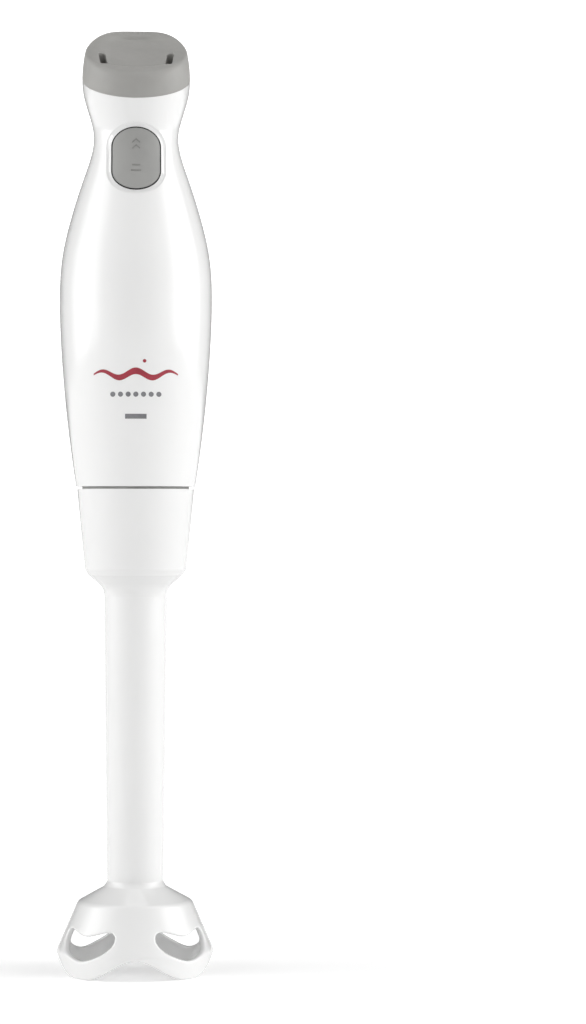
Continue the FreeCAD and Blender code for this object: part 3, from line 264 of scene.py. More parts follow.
class Form:
    """Points and faces of one piece, gathered row by row."""

    def __init__(self):
        self.points = []
        self.faces = []

    def row(self, places):
        """Adds points and returns their indices."""
        start = len(self.points)
        self.points.extend(places)
        return list(range(start, len(self.points)))

    def strip(self, first, second, closed=True):
        """Quads between two rows of as many points."""
        count = len(first)
        for index in range(count if closed else count - 1):
            after = (index + 1) % count
            self.faces.append((first[index], first[after], second[after], second[index]))

    def fan(self, row, centre):
        """Closes a row with triangles to a centre."""
        tip = self.row([centre])[0]
        for index in range(len(row)):
            self.faces.append((row[index], row[(index + 1) % len(row)], tip))

    def sheet(self, flat, place, spacing, edges, holes=()):
        """Fills flat loops of existing points with an even sheet; place puts a flat point in space."""
        outer = [flat[index] for index in edges]
        openings = [[flat[index] for index in hole] for hole in holes]
        loops = [edges] + [list(hole) for hole in holes]
        low = [min(point[axis] for point in outer) for axis in (0, 1)]
        high = [max(point[axis] for point in outer) for axis in (0, 1)]
        borders = numpy.array([flat[index] for loop in loops for index in loop])
        points, segments, origin = [], [], []
        for loop in loops:
            first = len(points)
            for index in loop:
                points.append(Vector(flat[index]))
                origin.append(index)
            segments += [(first + i, first + (i + 1) % len(loop)) for i in range(len(loop))]
        steps = [int((high[axis] - low[axis]) / spacing) + 1 for axis in (0, 1)]
        for i in range(steps[0] + 1):
            for j in range(steps[1] + 1):
                spot = (low[0] + (i + 0.5 * (j % 2)) * spacing, low[1] + j * spacing)
                nearest = numpy.min(numpy.hypot(borders[:, 0] - spot[0], borders[:, 1] - spot[1]))
                if nearest < CLEAR_SHARE * spacing:
                    continue
                if inside(spot, outer) and not any(inside(spot, opening) for opening in openings):
                    points.append(Vector(spot))
                    origin.append(None)
        found, _, triangles, sources, _, _ = delaunay_2d_cdt(points, segments, [], 1, 1e-6)
        target = []
        for spot, source in zip(found, sources):
            known = [origin[index] for index in source if origin[index] is not None]
            target.append(known[0] if known else self.row([place(spot)])[0])
        for triangle in triangles:
            middle = sum((found[index] for index in triangle), Vector((0.0, 0.0))) / len(triangle)
            if inside(middle, outer) and not any(inside(middle, opening) for opening in openings):
                self.faces.append(tuple(target[index] for index in triangle))

    def piece(self, name, body, finish, sharp=50.0):
        """Turns what was gathered into a closed, smooth object that rides on a body."""
        data = bpy.data.meshes.new(name)
        data.from_pydata([Vector(point) * MM for point in self.points], [], self.faces)
        mesh = bmesh.new()
        mesh.from_mesh(data)
        bmesh.ops.remove_doubles(mesh, verts=mesh.verts, dist=WELD * MM)
        bmesh.ops.recalc_face_normals(mesh, faces=mesh.faces)
        mesh.to_mesh(data)
        mesh.free()
        data.shade_smooth()
        data.set_sharp_from_angle(angle=math.radians(sharp))
        data.materials.append(FINISH[finish])
        item = bpy.data.objects.new(name, data)
        bpy.context.scene.collection.objects.link(item)
        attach(item, body)
        return item


def inside(spot, outline):
    """Whether a flat point is inside a closed outline."""
    found = False
    for (ax, ay), (bx, by) in zip(outline, outline[1:] + outline[:1]):
        if (ay > spot[1]) != (by > spot[1]) and spot[0] < (bx - ax) * (spot[1] - ay) / (by - ay) + ax:
            found = not found
    return found


def spline(stations):
    """The natural cubic curve through (place, value) stations, as a function."""
    places = numpy.array([place for place, _ in stations])
    values = numpy.array([value for _, value in stations])
    gaps = numpy.diff(places)
    count = len(places)
    matrix = numpy.zeros((count, count))
    right = numpy.zeros(count)
    matrix[0, 0] = matrix[-1, -1] = 1.0
    for i in range(1, count - 1):
        matrix[i, i - 1:i + 2] = gaps[i - 1], 2 * (gaps[i - 1] + gaps[i]), gaps[i]
        right[i] = 6 * ((values[i + 1] - values[i]) / gaps[i] - (values[i] - values[i - 1]) / gaps[i - 1])
    bends = numpy.linalg.solve(matrix, right)

    def curve(place):
        i = int(min(max(numpy.searchsorted(places, place) - 1, 0), count - 2))
        a, b = places[i + 1] - place, place - places[i]
        gap = gaps[i]
        return float((bends[i] * a ** 3 + bends[i + 1] * b ** 3) / (6 * gap)
                     + (values[i] / gap - bends[i] * gap / 6) * a
                     + (values[i + 1] / gap - bends[i + 1] * gap / 6) * b)

    return curve


def closed_curve(corners, steps):
    """A smooth closed curve through corners, with a number of steps between each two."""
    made = []
    count = len(corners)
    for index in range(count):
        before, start, end, after = (Vector(corners[(index + k) % count]) for k in (-1, 0, 1, 2))
        square = 2 * before - 5 * start + 4 * end - after
        cube = 3 * start - before - 3 * end + after
        for step in range(steps):
            t = step / steps
            made.append(0.5 * (2 * start + (end - before) * t + square * t ** 2 + cube * t ** 3))
    return made


def even_loop(loop, count):
    """The closed loop with its points spread evenly."""
    ring = [Vector(point) for point in loop] + [Vector(loop[0])]
    lengths = [0.0]
    for first, second in zip(ring, ring[1:]):
        lengths.append(lengths[-1] + (second - first).length)
    made = []
    index = 0
    for step in range(count):
        want = lengths[-1] * step / count
        while lengths[index + 1] < want:
            index += 1
        share = (want - lengths[index]) / (lengths[index + 1] - lengths[index])
        made.append(ring[index].lerp(ring[index + 1], share))
    return made


def grown(loop, distance):
    """A closed flat loop, taken counterclockwise, moved outwards by a distance."""
    count = len(loop)
    made = []
    for index in range(count):
        along = Vector(loop[(index + 1) % count]) - Vector(loop[index - 1])
        along.normalize()
        made.append(Vector(loop[index]) + distance * Vector((along.y, -along.x)))
    return made


def quarter_turn(radius, steps=4):
    """(Offset, depth) rows round an edge: flat on one face first, then down the other."""
    for step in range(steps + 1):
        turn = step / steps * math.pi / 2
        yield radius * (1 - math.sin(turn)), radius * (1 - math.cos(turn))


def smooth_step(value, low, high):
    """0 below low, 1 above high, and a smooth rise between."""
    share = min(max((value - low) / (high - low), 0.0), 1.0)
    return share * share * (3 - 2 * share)


# Bell guard

# its outline from the rim to the top of the neck, as (radius, height)
GUARD_RIM, GUARD_WAIST, GUARD_CREASE = (30.7, 0.0), (31.08, 9.4), (22.8, 28.5)
GUARD_NECK, GUARD_TOP = (12.5, 34.2), (11.15, 36.6)
WAIST_BLEND = 2.5  # how far above and below the waist the two cones blend
CREASE_ROUNDING, CREASE_STEPS = 4.0, 10
NECK_CURVE, NECK_STEPS = 1.5, 8  # the neck flares out along a curve of this power
GUARD_ACROSS = 2.4  # its wall, measured level
GUARD_SPIGOT = (9.2, 7.0, 44.0)  # outer and inner radius, top
GUARD_LEDGE_Z = 33.0  # where the spigot's bore ends and the hub's begins
GUARD_HUB = (8.4, 5.4, 19.0)  # outer and inner radius, bottom
GUARD_CEILING = ((8.4, 32.6), (21.1, 26.9))  # its underside from the hub to the crease
CEILING_ROUNDINGS = [1.5, 1.2]
GUARD_FLAT_RADIUS = 28.0  # turns an angle into a flat length
GUARD_SPLIT_Z = 22.5  # above this the guard is a plain turned form
ARCH_RISE, ARCH_HALF, ARCH_SINK = 8.25, 21.0, 0.2
WINDOW = ((0.0, 7.3), (9.1, 9.9), (13.3, 14.6), (10.9, 18.6), (0.0, 16.6))
WINDOW_STEPS, WINDOW_POINTS = 24, 120
GUARD_ROUNDING, WINDOW_ROUNDING, GUARD_INNER_ROUNDING = 0.9, 0.95, 0.5
QUARTER_COLUMNS = 46
GUARD_SPACING, GUARD_SIDE_SPACING = 1.3, 1.4


def rounded_line(corners, roundings, steps=6):
    """An open line of (radius, height) corners, with an arc of its rounding at each inner corner."""
    made = [Vector(corners[0])]
    for index, radius in enumerate(roundings, start=1):
        here, before, after = (Vector(corners[index + k]) for k in (0, -1, 1))
        back, ahead = (before - here).normalized(), (after - here).normalized()
        half = back.angle(ahead) / 2
        reach = radius / math.tan(half)
        centre = here + (back + ahead).normalized() * (radius / math.sin(half))
        start, end = here + back * reach, here + ahead * reach
        first = start - centre
        turn = first.angle_signed(end - centre)
        for step in range(steps + 1):
            spin = -turn * step / steps
            made.append(centre + Vector((first.x * math.cos(spin) - first.y * math.sin(spin),
                                         first.x * math.sin(spin) + first.y * math.cos(spin))))
    made.append(Vector(corners[-1]))
    return made


def guard_radius(z):
    """The guard's radius below its crease: two cones that blend at the waist."""
    waist_radius, waist_z = GUARD_WAIST
    crease_radius, crease_z = GUARD_CREASE
    blend = smooth_step(z, waist_z - WAIST_BLEND, waist_z + WAIST_BLEND)
    lower = GUARD_RIM[0] + (waist_radius - GUARD_RIM[0]) * z / waist_z
    upper = waist_radius + (crease_radius - waist_radius) * (z - waist_z) / (crease_z - waist_z)
    return lower + (upper - lower) * blend


def arch_height(angle):
    """The height of the rim's edge at an angle, zero on its four feet."""
    z = 0.0
    for _ in range(4):
        across = guard_radius(z) * min(abs(math.sin(angle)), abs(math.cos(angle)))
        wave = (1 + math.cos(math.pi * min(across / ARCH_HALF, 1.0))) / 2
        z = max(ARCH_RISE * wave - ARCH_SINK, 0.0)
    return z


def guard_place(spot, depth, quarter):
    """Where a flat point of a quarter lies, at a depth in its wall."""
    angle = spot[0] / GUARD_FLAT_RADIUS + math.pi / 4 + quarter * math.pi / 2
    radius = guard_radius(spot[1]) - depth
    return Vector((radius * math.cos(angle), radius * math.sin(angle), spot[1]))


def guard_window_loop():
    """The window's outline on the flat cone, counterclockwise."""
    right = [(across, z) for across, z in WINDOW[1:-1]]
    left = [(-across, z) for across, z in reversed(right)]
    corners = [WINDOW[0]] + right + [WINDOW[-1]] + left
    loop = even_loop(closed_curve(corners, WINDOW_STEPS), WINDOW_POINTS)
    return [Vector((GUARD_FLAT_RADIUS * math.asin(point.x / guard_radius(point.y)), point.y))
            for point in loop]


def guard_columns():
    """The angles of a quarter's columns, from its middle."""
    return [math.pi / 2 * (index / QUARTER_COLUMNS - 0.5) for index in range(QUARTER_COLUMNS + 1)]


def guard_rim_line(offset):
    """The rim's edge on the flat cone, moved up by an offset along the cone."""
    line = [Vector((angle * GUARD_FLAT_RADIUS, arch_height(angle + math.pi / 4)))
            for angle in guard_columns()]
    made = []
    for index, point in enumerate(line):
        before, after = line[max(index - 1, 0)], line[min(index + 1, len(line) - 1)]
        slope = (after - before).normalized()
        if index in (0, len(line) - 1):
            slope = Vector((1.0, 0.0))
        made.append(point + offset * Vector((-slope.y, slope.x)))
    return made


def guard_quarter(form, quarter):
    """One quarter's rim, window and walls; returns its top rows, outside and inside."""
    window = guard_window_loop()
    across = GUARD_ACROSS
    rows, rings = [], []
    rim_rows = list(quarter_turn(GUARD_ROUNDING))
    window_rows = list(quarter_turn(WINDOW_ROUNDING))
    inner_rows = [(offset, across - depth) for offset, depth in quarter_turn(GUARD_INNER_ROUNDING)][::-1]
    flat = {}

    def lay(points, depth):
        made = form.row([guard_place(point, depth, quarter) for point in points])
        for index, point in zip(made, points):
            flat[index] = (point[0], point[1])
        return made

    for offset, depth in rim_rows + inner_rows:
        rows.append(lay(guard_rim_line(offset), depth))
    for offset, depth in window_rows + inner_rows:
        rings.append(lay(grown(window, offset), depth))
    for first, second in zip(rows, rows[1:]):
        form.strip(first, second, closed=False)
    for first, second in zip(rings, rings[1:]):
        form.strip(first, second)
    tops = []
    for rim, ring, depth in ((rows[0], rings[0], 0.0), (rows[-1], rings[-1], across)):
        top = lay([Vector((angle * GUARD_FLAT_RADIUS, GUARD_SPLIT_Z)) for angle in guard_columns()], depth)
        sides = []
        for column in (0, -1):
            low, high = flat[rim[column]][1], GUARD_SPLIT_Z
            steps = int((high - low) / GUARD_SIDE_SPACING)
            x = guard_columns()[column] * GUARD_FLAT_RADIUS
            side = [Vector((x, low + (high - low) * (step + 1) / (steps + 1))) for step in range(steps)]
            sides.append(lay(side, depth))
        edge = rim + sides[1] + top[::-1] + sides[0][::-1]
        form.sheet(flat, lambda spot, deep=depth: guard_place(spot, deep, quarter),
                   GUARD_SPACING, edge, [ring])
        tops.append(top)
    return tops


def turned_rows(form, line, angles):
    """One ring of points for each (radius, height) of a line."""
    return [form.row([(radius * math.cos(angle), radius * math.sin(angle), z) for angle in angles])
            for radius, z in line]


def bell_guard():
    """The guard with rounded rim and windows, and its shoulder, neck, spigot and hub."""
    form = Form()
    outer, inner = [], []
    for quarter in range(4):
        top, under = guard_quarter(form, quarter)
        outer += top[:-1]
        inner += under[:-1]
    angles = [angle + math.pi / 4 + quarter * math.pi / 2
              for quarter in range(4) for angle in guard_columns()[:-1]]
    split = (guard_radius(GUARD_SPLIT_Z), GUARD_SPLIT_Z)
    outside = rounded_line([split, GUARD_CREASE, GUARD_NECK], [CREASE_ROUNDING], CREASE_STEPS)
    for step in range(1, NECK_STEPS + 1):
        share = 1 - step / NECK_STEPS
        outside.append(Vector((GUARD_TOP[0] + (GUARD_NECK[0] - GUARD_TOP[0]) * share ** NECK_CURVE,
                               GUARD_TOP[1] + (GUARD_NECK[1] - GUARD_TOP[1]) * share)))
    spigot_out, spigot_in, spigot_top = GUARD_SPIGOT
    hub_out, hub_in, hub_low = GUARD_HUB
    outside += [(spigot_out, GUARD_TOP[1]), (spigot_out, spigot_top), (spigot_in, spigot_top)]
    outside += [(spigot_in, GUARD_LEDGE_Z), (hub_in, GUARD_LEDGE_Z), (hub_in, hub_low), (hub_out, hub_low)]
    wall_end = (split[0] - GUARD_ACROSS, GUARD_SPLIT_Z)
    under = rounded_line([(hub_out, hub_low), *GUARD_CEILING, wall_end], CEILING_ROUNDINGS)
    rows = [outer] + turned_rows(form, outside[1:] + under[1:-1], angles) + [inner]
    for first, second in zip(rows, rows[1:]):
        form.strip(first, second)
    piece = form.piece("guard", "foot", "foot_white", 60.0)
    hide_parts("bell_guard")


bell_guard()


# Handle outline, shared by the cap and the marks on the shell and button

HANDLE = (
    (193.7, 23.7), (212.0, 26.3), (232.0, 28.45), (252.0, 29.88), (268.5, 30.33), (284.5, 29.4),
    (300.5, 25.85), (316.5, 20.8), (326.0, 17.72), (333.0, 16.8), (342.0, 18.75), (351.0, 21.12),
    (357.5, 21.47), (364.0, 20.85), (371.0, 19.5), (382.0, 17.0),
)
handle_radius = spline(HANDLE)


# Top cap: a dished top that slopes to the front, with two eye slots

CAP_EDGE_Z, CAP_EDGE_TILT = 356.2, math.radians(26.0)
CAP_TOP_Z, CAP_TOP_TILT = 368.4, math.radians(30.0)
CAP_COLUMNS, CAP_SIDE_ROWS, CAP_SPACING = 160, 16, 0.45
CAP_EDGE_ROUNDING = 0.3
CAP_REAR_ROUNDING, CAP_FRONT_ROUNDING, CAP_ROUNDING_STEPS = 1.2, 3.6, 8
CAP_FRONT_SHARE = (0.2, 0.95)  # how far forward the rim's rounding starts and stops growing
CAP_RIM_ARMS = (4.0, 8.0)  # how far down the side and in on the top the rim's corner is measured
CAP_SKIRT = (2.32, 3.92, 4.0)  # insets of its two sides from the outline, and its drop
CAP_LIFT, CAP_REACH = 1.3, 20.0  # the rise of the rear corners, and the radius where it is reached
DISH_DEPTH = 1.3
DISH_SIDE = (9.5, 15.5)  # where the dish's sides start to rise and where they end
DISH_LIP_Y, DISH_LIP_BEND, DISH_LIP_REACH = -16.9, 3.2, 12.6
DISH_LIP_WIDTH, DISH_LIP_FOOT = 1.2, 0.3
SCOOP_Y, SCOOP_RADIUS, SCOOP_WALL = 5.7, 8.0, 0.6
GROOVE_DEPTH, GROOVE_HALF, GROOVE_BEHIND = 1.7, 0.8, 0.8  # the groove behind the lip
GROOVE_ENDS = (11.0, 13.0)  # where it starts to run out and where it has
EYE_WIDTH, EYE_LENGTH, EYE_LEAN, EYE_POCKET = 2.8, 11.7, math.radians(5.9), 8.0
EYE_X, EYE_Y, EYE_ROUNDING = 14.05, -7.6, 0.35
EYE_CORNER, EYE_CORNER_STEPS, EYE_POINTS = 0.9, 4, 64


def on_plane(angle, height, tilt, inset=0.0):
    """Where the handle's outline, moved in, meets a plane that rises to the rear."""
    z = height
    for _ in range(12):
        radius = handle_radius(z) - inset
        z = height + radius * math.sin(angle) * math.tan(tilt)
    return radius, z


def dish_depth(x, y):
    """How deep the dish is at a place on the sloping top."""
    side = 1 - smooth_step(abs(x), *DISH_SIDE)
    lip = DISH_LIP_Y + DISH_LIP_BEND * (x / DISH_LIP_REACH) ** 2
    front = smooth_step(y, lip - DISH_LIP_WIDTH, lip + DISH_LIP_FOOT)
    rear = 1.0
    if y > SCOOP_Y:
        spread = math.hypot(x, y - SCOOP_Y)
        lean = (x / spread) ** 2
        end = SCOOP_RADIUS + (DISH_SIDE[1] - SCOOP_RADIUS) * lean
        wall = SCOOP_WALL + (DISH_SIDE[1] - DISH_SIDE[0] - SCOOP_WALL) * lean
        rear = 1 - smooth_step(spread, end - wall, end)
        side = 1.0
    groove = GROOVE_DEPTH * math.exp(-((y - lip - GROOVE_BEHIND) / GROOVE_HALF) ** 2)
    groove *= 1 - smooth_step(abs(x), *GROOVE_ENDS)
    return DISH_DEPTH * side * front * rear + groove


def cap_lift(x, y):
    """How far the top's two rear corners stand above its plane."""
    return CAP_LIFT * (2 * x * max(y, 0.0) / CAP_REACH ** 2) ** 2


def cap_place(spot, depth=0.0):
    """A place on the sloping top, at a depth under its plane, with the dish pressed in."""
    x, y = spot
    down = depth + dish_depth(x, y)
    rise = cap_lift(x, y * math.cos(CAP_TOP_TILT))
    return Vector((x, y * math.cos(CAP_TOP_TILT) + down * math.sin(CAP_TOP_TILT),
                   CAP_TOP_Z + y * math.sin(CAP_TOP_TILT) - down * math.cos(CAP_TOP_TILT) + rise))


def eye_outline(side):
    """The rounded outline of an eye slot on the sloping top, counterclockwise."""
    half, reach = EYE_WIDTH / 2 - EYE_CORNER, EYE_LENGTH / 2 - EYE_CORNER
    made = []
    for across, along, start in ((1, 1, 0), (-1, 1, 90), (-1, -1, 180), (1, -1, 270)):
        for step in range(EYE_CORNER_STEPS + 1):
            turn = math.radians(start + 90 * step / EYE_CORNER_STEPS)
            made.append((across * half + EYE_CORNER * math.cos(turn),
                         along * reach + EYE_CORNER * math.sin(turn)))
    lean = -side * EYE_LEAN
    loop = even_loop(made, EYE_POINTS)
    return [Vector(((point.x + side * EYE_X) * math.cos(lean) - (point.y + EYE_Y) * math.sin(lean),
                    (point.x + side * EYE_X) * math.sin(lean) + (point.y + EYE_Y) * math.cos(lean)))
            for point in loop]


def cap_sides(form, angles):
    """The lower rows, the outside and the rounded rim; returns the row where the top begins."""
    inset, inner, drop = CAP_SKIRT
    skirt = ((0.0, inner), (drop, inner), (drop, inset), (0.0, inset))
    arm_down, arm_in = CAP_RIM_ARMS
    columns = []
    for angle in angles:
        front = smooth_step(-math.sin(angle), *CAP_FRONT_SHARE)
        rounding = CAP_REAR_ROUNDING + (CAP_FRONT_ROUNDING - CAP_REAR_ROUNDING) * front
        radius, z = on_plane(angle, CAP_TOP_Z, CAP_TOP_TILT)
        z += cap_lift(radius * math.cos(angle), radius * math.sin(angle))
        radius = handle_radius(z)
        side = (handle_radius(z - arm_down), z - arm_down)
        top = (radius - arm_in, z - arm_in * math.sin(angle) * math.tan(CAP_TOP_TILT))
        arc = rounded_line([side, (radius, z), top], [rounding], CAP_ROUNDING_STEPS)[1:-1]
        column = [on_plane(angle, CAP_EDGE_Z - down, CAP_EDGE_TILT, inward) for down, inward in skirt]
        edge_radius, edge_z = on_plane(angle, CAP_EDGE_Z, CAP_EDGE_TILT)
        edge = [(edge_radius - offset, edge_z + depth) for depth, offset in quarter_turn(CAP_EDGE_ROUNDING)]
        column += edge[::-1]
        start = column[-1][1]
        for row in range(1, CAP_SIDE_ROWS + 1):
            height = start + (arc[0].y - start) * row / (CAP_SIDE_ROWS + 1)
            column.append((handle_radius(height), height))
        columns.append(column + [tuple(point) for point in arc])
    rows = []
    for places in zip(*columns):
        rows.append(form.row([(radius * math.cos(angle), radius * math.sin(angle), z)
                              for angle, (radius, z) in zip(angles, places)]))
    for first, second in zip(rows, rows[1:]):
        form.strip(first, second)
    form.fan(rows[0], (0.0, 0.0, CAP_EDGE_Z))
    return rows[-1]


def top_cap():
    """The cap with its dish and its two eye slots."""
    form = Form()
    angles = [2 * math.pi * index / CAP_COLUMNS for index in range(CAP_COLUMNS)]
    rim = cap_sides(form, angles)
    flat = {index: (form.points[index][0], form.points[index][1] / math.cos(CAP_TOP_TILT))
            for index in rim}
    mouths = []
    for side in (-1, 1):
        outline = eye_outline(side)
        rows = []
        walls = [(0.0, EYE_POCKET / 2), (0.0, EYE_POCKET)]
        for offset, depth in list(quarter_turn(EYE_ROUNDING)) + walls:
            spots = grown(outline, offset)
            rows.append(form.row([cap_place(spot, depth) for spot in spots]))
            if len(rows) == 1:
                flat.update({index: tuple(spot) for index, spot in zip(rows[0], spots)})
        for first, second in zip(rows, rows[1:]):
            form.strip(first, second)
        middle = sum(outline, Vector((0.0, 0.0))) / len(outline)
        form.fan(rows[-1], cap_place(middle, EYE_POCKET))
        mouths.append(rows[0])
    form.sheet(flat, cap_place, CAP_SPACING, rim, mouths)
    piece = form.piece("cap", "handle", "cap_grey", 60.0)
    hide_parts("top_cap")


top_cap()


# Marks: generic prints on the shell, and raised signs on the button

PRINT_LIFT, PRINT_THICK = 0.04, 0.03
MARK_SPACING, MARK_SHARP = 0.8, 40.0
WAVE_Z, WAVE_WIDTH, WAVE_THICK, WAVE_SWING = 237.4, 33.0, 2.6, 1.3
WAVE_COUNT, WAVE_STEPS = 2.5, 72
SPOT_X, SPOT_Z, SPOT_RADIUS = 3.4, 242.6, 0.7
DOT_COUNT, DOT_GAP, DOT_Z, DOT_RADIUS = 7, 3.0, 229.6, 1.0
BAR_Z, BAR_WIDTH, BAR_THICK = 221.0, 8.4, 1.9
PRINT_RED, PRINT_GREY, SIGN_GREY = (0.36, 0.03, 0.05), (0.2, 0.2, 0.21), (0.25, 0.25, 0.24)
BUTTON_PROUD = 0.3  # how far the button stands out of the handle's outline
SIGN_LIFT, SIGN_THICK = 0.12, 0.6
# chevrons and bars down the middle of the button: (height, half width, rise of its middle)
BUTTON_SIGNS = ((330.6, 1.5, 1.3), (328.2, 1.5, 1.3), (320.2, 1.6, 0.0), (318.0, 2.0, 0.0))


def on_front(x, z, lift):
    """A place on the front of the handle's outline, lifted off it."""
    radius = handle_radius(z) + lift
    return Vector((x, -math.sqrt(radius * radius - x * x), z))


def mark(form, outline, lift, thick):
    """A thin closed plate over the front of the handle, from a flat outline in x and z."""
    flat = {}
    rows = []
    for level in (lift, lift - thick):
        row = form.row([on_front(x, z, level) for x, z in outline])
        flat.update({index: (x, z) for index, (x, z) in zip(row, outline)})
        form.sheet(flat, lambda spot, high=level: on_front(spot[0], spot[1], high), MARK_SPACING, row)
        rows.append(row)
    form.strip(*rows)


def bar_outline(x, z, width, height, lean=0.0):
    """The corners of a small bar round a middle, with a number of points along its length."""
    steps = max(int(width / MARK_SPACING), 1)
    along = [-width / 2 + width * step / steps for step in range(steps + 1)]
    lower = [(x + place, z - height / 2 + lean * place) for place in along]
    upper = [(x + place, z + height / 2 + lean * place) for place in reversed(along)]
    return lower + upper


def circle_outline(x, z, radius, count=28):
    """The points of a small disc's edge."""
    turns = [2 * math.pi * step / count for step in range(count)]
    return [(x + radius * math.cos(turn), z + radius * math.sin(turn)) for turn in turns]


def wave_outline():
    """A band that swings up and down over its width and is a quarter as thick at its ends."""
    lower, upper = [], []
    for step in range(WAVE_STEPS + 1):
        share = step / WAVE_STEPS
        x = WAVE_WIDTH * (share - 0.5)
        z = WAVE_Z + WAVE_SWING * math.sin(2 * math.pi * WAVE_COUNT * share)
        half = WAVE_THICK / 2 * (0.25 + 0.75 * math.sin(math.pi * share))
        lower.append((x, z - half))
        upper.append((x, z + half))
    return lower + upper[::-1]


def inked(form, name, body, slot, ink):
    """A piece in its own ink, on the slot of what it is printed on."""
    form.piece(name, body, slot, MARK_SHARP).data.materials[0] = ink


def button_signs():
    """Slightly raised signs on the button, a darker grey than it."""
    form = Form()
    for z, half, rise in BUTTON_SIGNS:
        for side in ((-1, 1) if rise else (0,)):
            width = half if rise else 2 * half
            outline = bar_outline(side * half / 2, z - rise / 2, width, SIGN_THICK, -side * rise / half)
            mark(form, outline, BUTTON_PROUD + SIGN_LIFT, 2 * SIGN_LIFT)
    inked(form, "button_signs", "button", "button_grey", printed("sign_grey", SIGN_GREY))


def shell_print():
    """A generic flowing band with a spot, and grey dots and a bar under it, printed on the front."""
    band = Form()
    for outline in (wave_outline(), circle_outline(SPOT_X, SPOT_Z, SPOT_RADIUS)):
        mark(band, outline, PRINT_LIFT, PRINT_THICK)
    inked(band, "print_band", "handle", "shell_white", printed("print_red", PRINT_RED))
    bars = Form()
    for index in range(DOT_COUNT):
        x = DOT_GAP * (index - (DOT_COUNT - 1) / 2)
        mark(bars, circle_outline(x, DOT_Z, DOT_RADIUS), PRINT_LIFT, PRINT_THICK)
    mark(bars, bar_outline(0.0, BAR_Z, BAR_WIDTH, BAR_THICK), PRINT_LIFT, PRINT_THICK)
    inked(bars, "print_bars", "handle", "shell_white", printed("print_grey", PRINT_GREY))


button_signs()
shell_print()


# Soft seat round the button

BUTTON_Z, BUTTON_HALF, BUTTON_STRAIGHT, BUTTON_END = 322.8, 9.3, 10.0, 7.2
BUTTON_END_STEPS = 24
SEAT_INNER, SEAT_OUTER, SEAT_DEPTH = 0.57, 3.1, 0.53  # growths from the button's outline, and how deep
SEAT_RISE = (0.15, 0.95)  # the shares of its width where it starts and stops rising
SEAT_PROUD, SEAT_UNDER = 0.012, 0.02  # how far its outer edge stands over the shell, and reaches under it
SEAT_WALL = 0.05
SEAT_STEPS, SEAT_POINTS = 10, 120


def button_outline(grow):
    """The button's outline, straight sides and elliptic ends, grown all round."""
    made = []
    for side in (1, -1):
        middle = BUTTON_Z + side * BUTTON_STRAIGHT / 2
        for step in range(BUTTON_END_STEPS + 1):
            turn = math.pi * step / BUTTON_END_STEPS + (0 if side > 0 else math.pi)
            across, up = (BUTTON_HALF + grow) * math.cos(turn), (BUTTON_END + grow) * math.sin(turn)
            made.append((across, middle + up))
    return even_loop(made, SEAT_POINTS)


def button_seat():
    """A ring that leads the shell's surface softly down to the button's edge."""
    form = Form()
    section = []
    for step in range(SEAT_STEPS + 1):
        share = step / SEAT_STEPS
        grow = SEAT_INNER + (SEAT_OUTER - SEAT_INNER) * share
        section.append((grow, SEAT_PROUD - SEAT_DEPTH * (1 - smooth_step(share, *SEAT_RISE))))
    section += [(SEAT_OUTER, -SEAT_UNDER), (SEAT_INNER, -SEAT_DEPTH - SEAT_WALL)]
    rows = [form.row([on_front(x, z, lift) for x, z in button_outline(grow)]) for grow, lift in section]
    for first, second in zip(rows, rows[1:] + rows[:1]):
        form.strip(first, second)
    form.piece("button_seat", "handle", "shell_white", 70.0)


button_seat()


# Studio: floor, lights and camera

SENSOR, FOCAL = 36.0, 112.0
VIEW_DISTANCE, VIEW_HEIGHT = 1.274, 0.18365
AIM_ANGLE = math.radians(2.827)  # the camera looks past the object's right side
VIEW_LEAN = -0.0013  # its roll
NEAREST = 0.05
FLOOR_HALF = 6.0
FLOOR_ROUGHNESS, FLOOR_PATCH = 0.9, 0.05
FLOOR_GLOW = 0.16
FLOOR_SHOWN = 0.18  # added where the camera sees the floor itself, so that it stays white
FLOOR_WHITE = 0.92
BACKDROP_GLOW = 1.1  # what the camera sees behind the object
# the tent's light level, from straight in front (0) by the sides (0.5) to straight behind (1)
TENT_ROUND = ((0.0, 0.38), (0.14, 0.86), (0.32, 2.55), (0.5, 3.15), (0.62, 1.6), (0.74, 0.3), (1.0, 0.16))
TENT_STRENGTH = 1.13
TENT_LEAN = 0.07  # how much stronger it is from the right
# and its share of that by the height of the direction, from level (0) to straight up (1)
TENT_OVER = ((0.0, 1.0), (0.45, 0.95), (0.8, 0.56), (1.0, 0.46))


def camera():
    """A long lens, level with the middle of the object."""
    data = bpy.data.cameras.new("studio_camera")
    data.sensor_width = SENSOR
    data.lens = FOCAL
    data.clip_start = NEAREST
    item = bpy.data.objects.new("studio_camera", data)
    item.location = (0.0, -VIEW_DISTANCE, VIEW_HEIGHT)
    item.rotation_euler = (math.pi / 2, VIEW_LEAN, -AIM_ANGLE)
    bpy.context.scene.collection.objects.link(item)
    bpy.context.scene.camera = item


def light_ramp(tree, stops):
    """A smooth run of light levels over 0 to 1."""
    ramp = tree.nodes.new("ShaderNodeValToRGB")
    ramp.color_ramp.interpolation = "EASE"
    elements = ramp.color_ramp.elements
    while len(elements) < len(stops):
        elements.new(0.5)
    for element, (place, level) in zip(elements, stops):
        element.position = place
        element.color = (level, level, level, 1.0)
    return ramp


def math_node(tree, operation, *values):
    """The result of an operation on numbers and other nodes' results."""
    node = tree.nodes.new("ShaderNodeMath")
    node.operation = operation
    for socket, value in zip(node.inputs, values):
        if isinstance(value, float):
            socket.default_value = value
        else:
            tree.links.new(value, socket)
    return node.outputs["Value"]


def camera_ray(tree):
    """1 for what the camera sees itself, 0 for light on its way round the studio."""
    return tree.nodes.new("ShaderNodeLightPath").outputs["Is Camera Ray"]


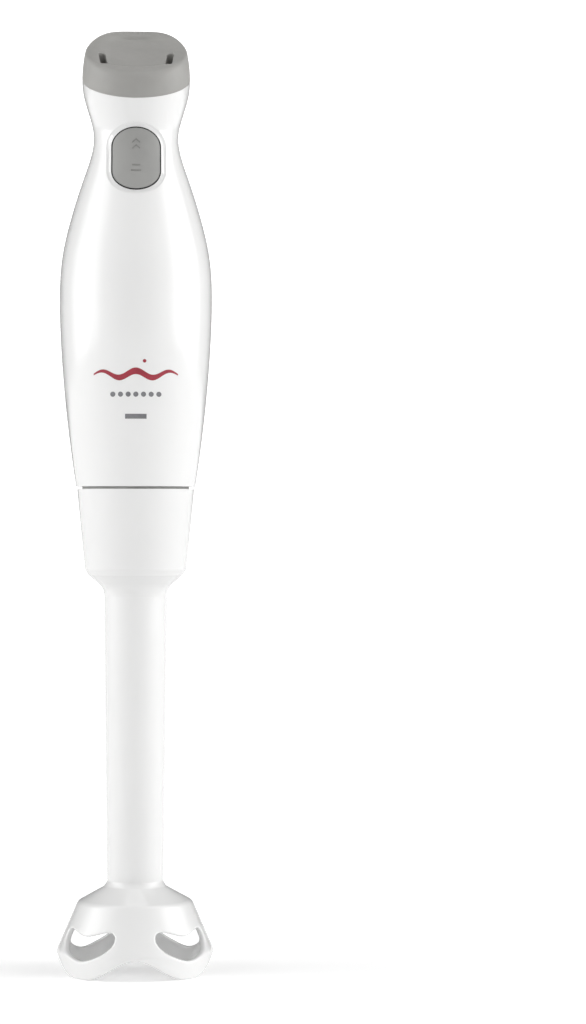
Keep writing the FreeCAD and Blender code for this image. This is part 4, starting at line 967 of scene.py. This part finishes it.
def floor_white():
    """Matt studio white that also gives a little light of its own."""
    made, tree, shader = material("floor_white", (FLOOR_WHITE, FLOOR_WHITE, FLOOR_WHITE), FLOOR_ROUGHNESS)
    low, high = FLOOR_ROUGHNESS - FLOOR_PATCH, FLOOR_ROUGHNESS + FLOOR_PATCH
    vary_roughness(tree, shader, noise(tree, 6.0), low, high)
    shader.inputs["Emission Color"].default_value = (1.0, 1.0, 1.0, 1.0)
    glow = math_node(tree, "MULTIPLY_ADD", camera_ray(tree), FLOOR_SHOWN, FLOOR_GLOW)
    tree.links.new(glow, shader.inputs["Emission Strength"])
    return made


def floor():
    """A flat white sheet under the object."""
    half = FLOOR_HALF
    data = bpy.data.meshes.new("studio_floor")
    corners = [(-half, -half, 0.0), (half, -half, 0.0), (half, half, 0.0), (-half, half, 0.0)]
    data.from_pydata(corners, [], [(0, 1, 2, 3)])
    data.materials.append(floor_white())
    item = bpy.data.objects.new("studio_floor", data)
    bpy.context.scene.collection.objects.link(item)


def light_tent():
    """Soft light from all round: strong from the sides, weaker from the front, from above and behind."""
    world = bpy.data.worlds.new("light_tent")
    world.use_nodes = True
    tree = world.node_tree
    place = tree.nodes.new("ShaderNodeTexCoord")
    axes = tree.nodes.new("ShaderNodeSeparateXYZ")
    tree.links.new(place.outputs["Generated"], axes.inputs["Vector"])
    x, y, z = axes.outputs
    squares = math_node(tree, "MULTIPLY_ADD", x, x, math_node(tree, "MULTIPLY", y, y))
    level = math_node(tree, "SQRT", squares)
    behind = math_node(tree, "MULTIPLY_ADD", math_node(tree, "DIVIDE", y, level), 0.5, 0.5)
    round_it = light_ramp(tree, TENT_ROUND)
    tree.links.new(behind, round_it.inputs["Fac"])
    upward = math_node(tree, "MAXIMUM", z, 0.0)
    over_it = light_ramp(tree, TENT_OVER)
    tree.links.new(upward, over_it.inputs["Fac"])
    both = math_node(tree, "MULTIPLY", round_it.outputs["Color"], over_it.outputs["Color"])
    lean = math_node(tree, "MULTIPLY_ADD", x, TENT_LEAN, 1.0)
    given = math_node(tree, "MULTIPLY", both, lean)
    shown = math_node(tree, "MULTIPLY_ADD", camera_ray(tree), BACKDROP_GLOW, given)
    background = tree.nodes["Background"]
    background.inputs["Strength"].default_value = TENT_STRENGTH
    tree.links.new(shown, background.inputs["Color"])
    bpy.context.scene.world = world
    bpy.context.scene.view_settings.view_transform = "Standard"


camera()
floor()
light_tent()
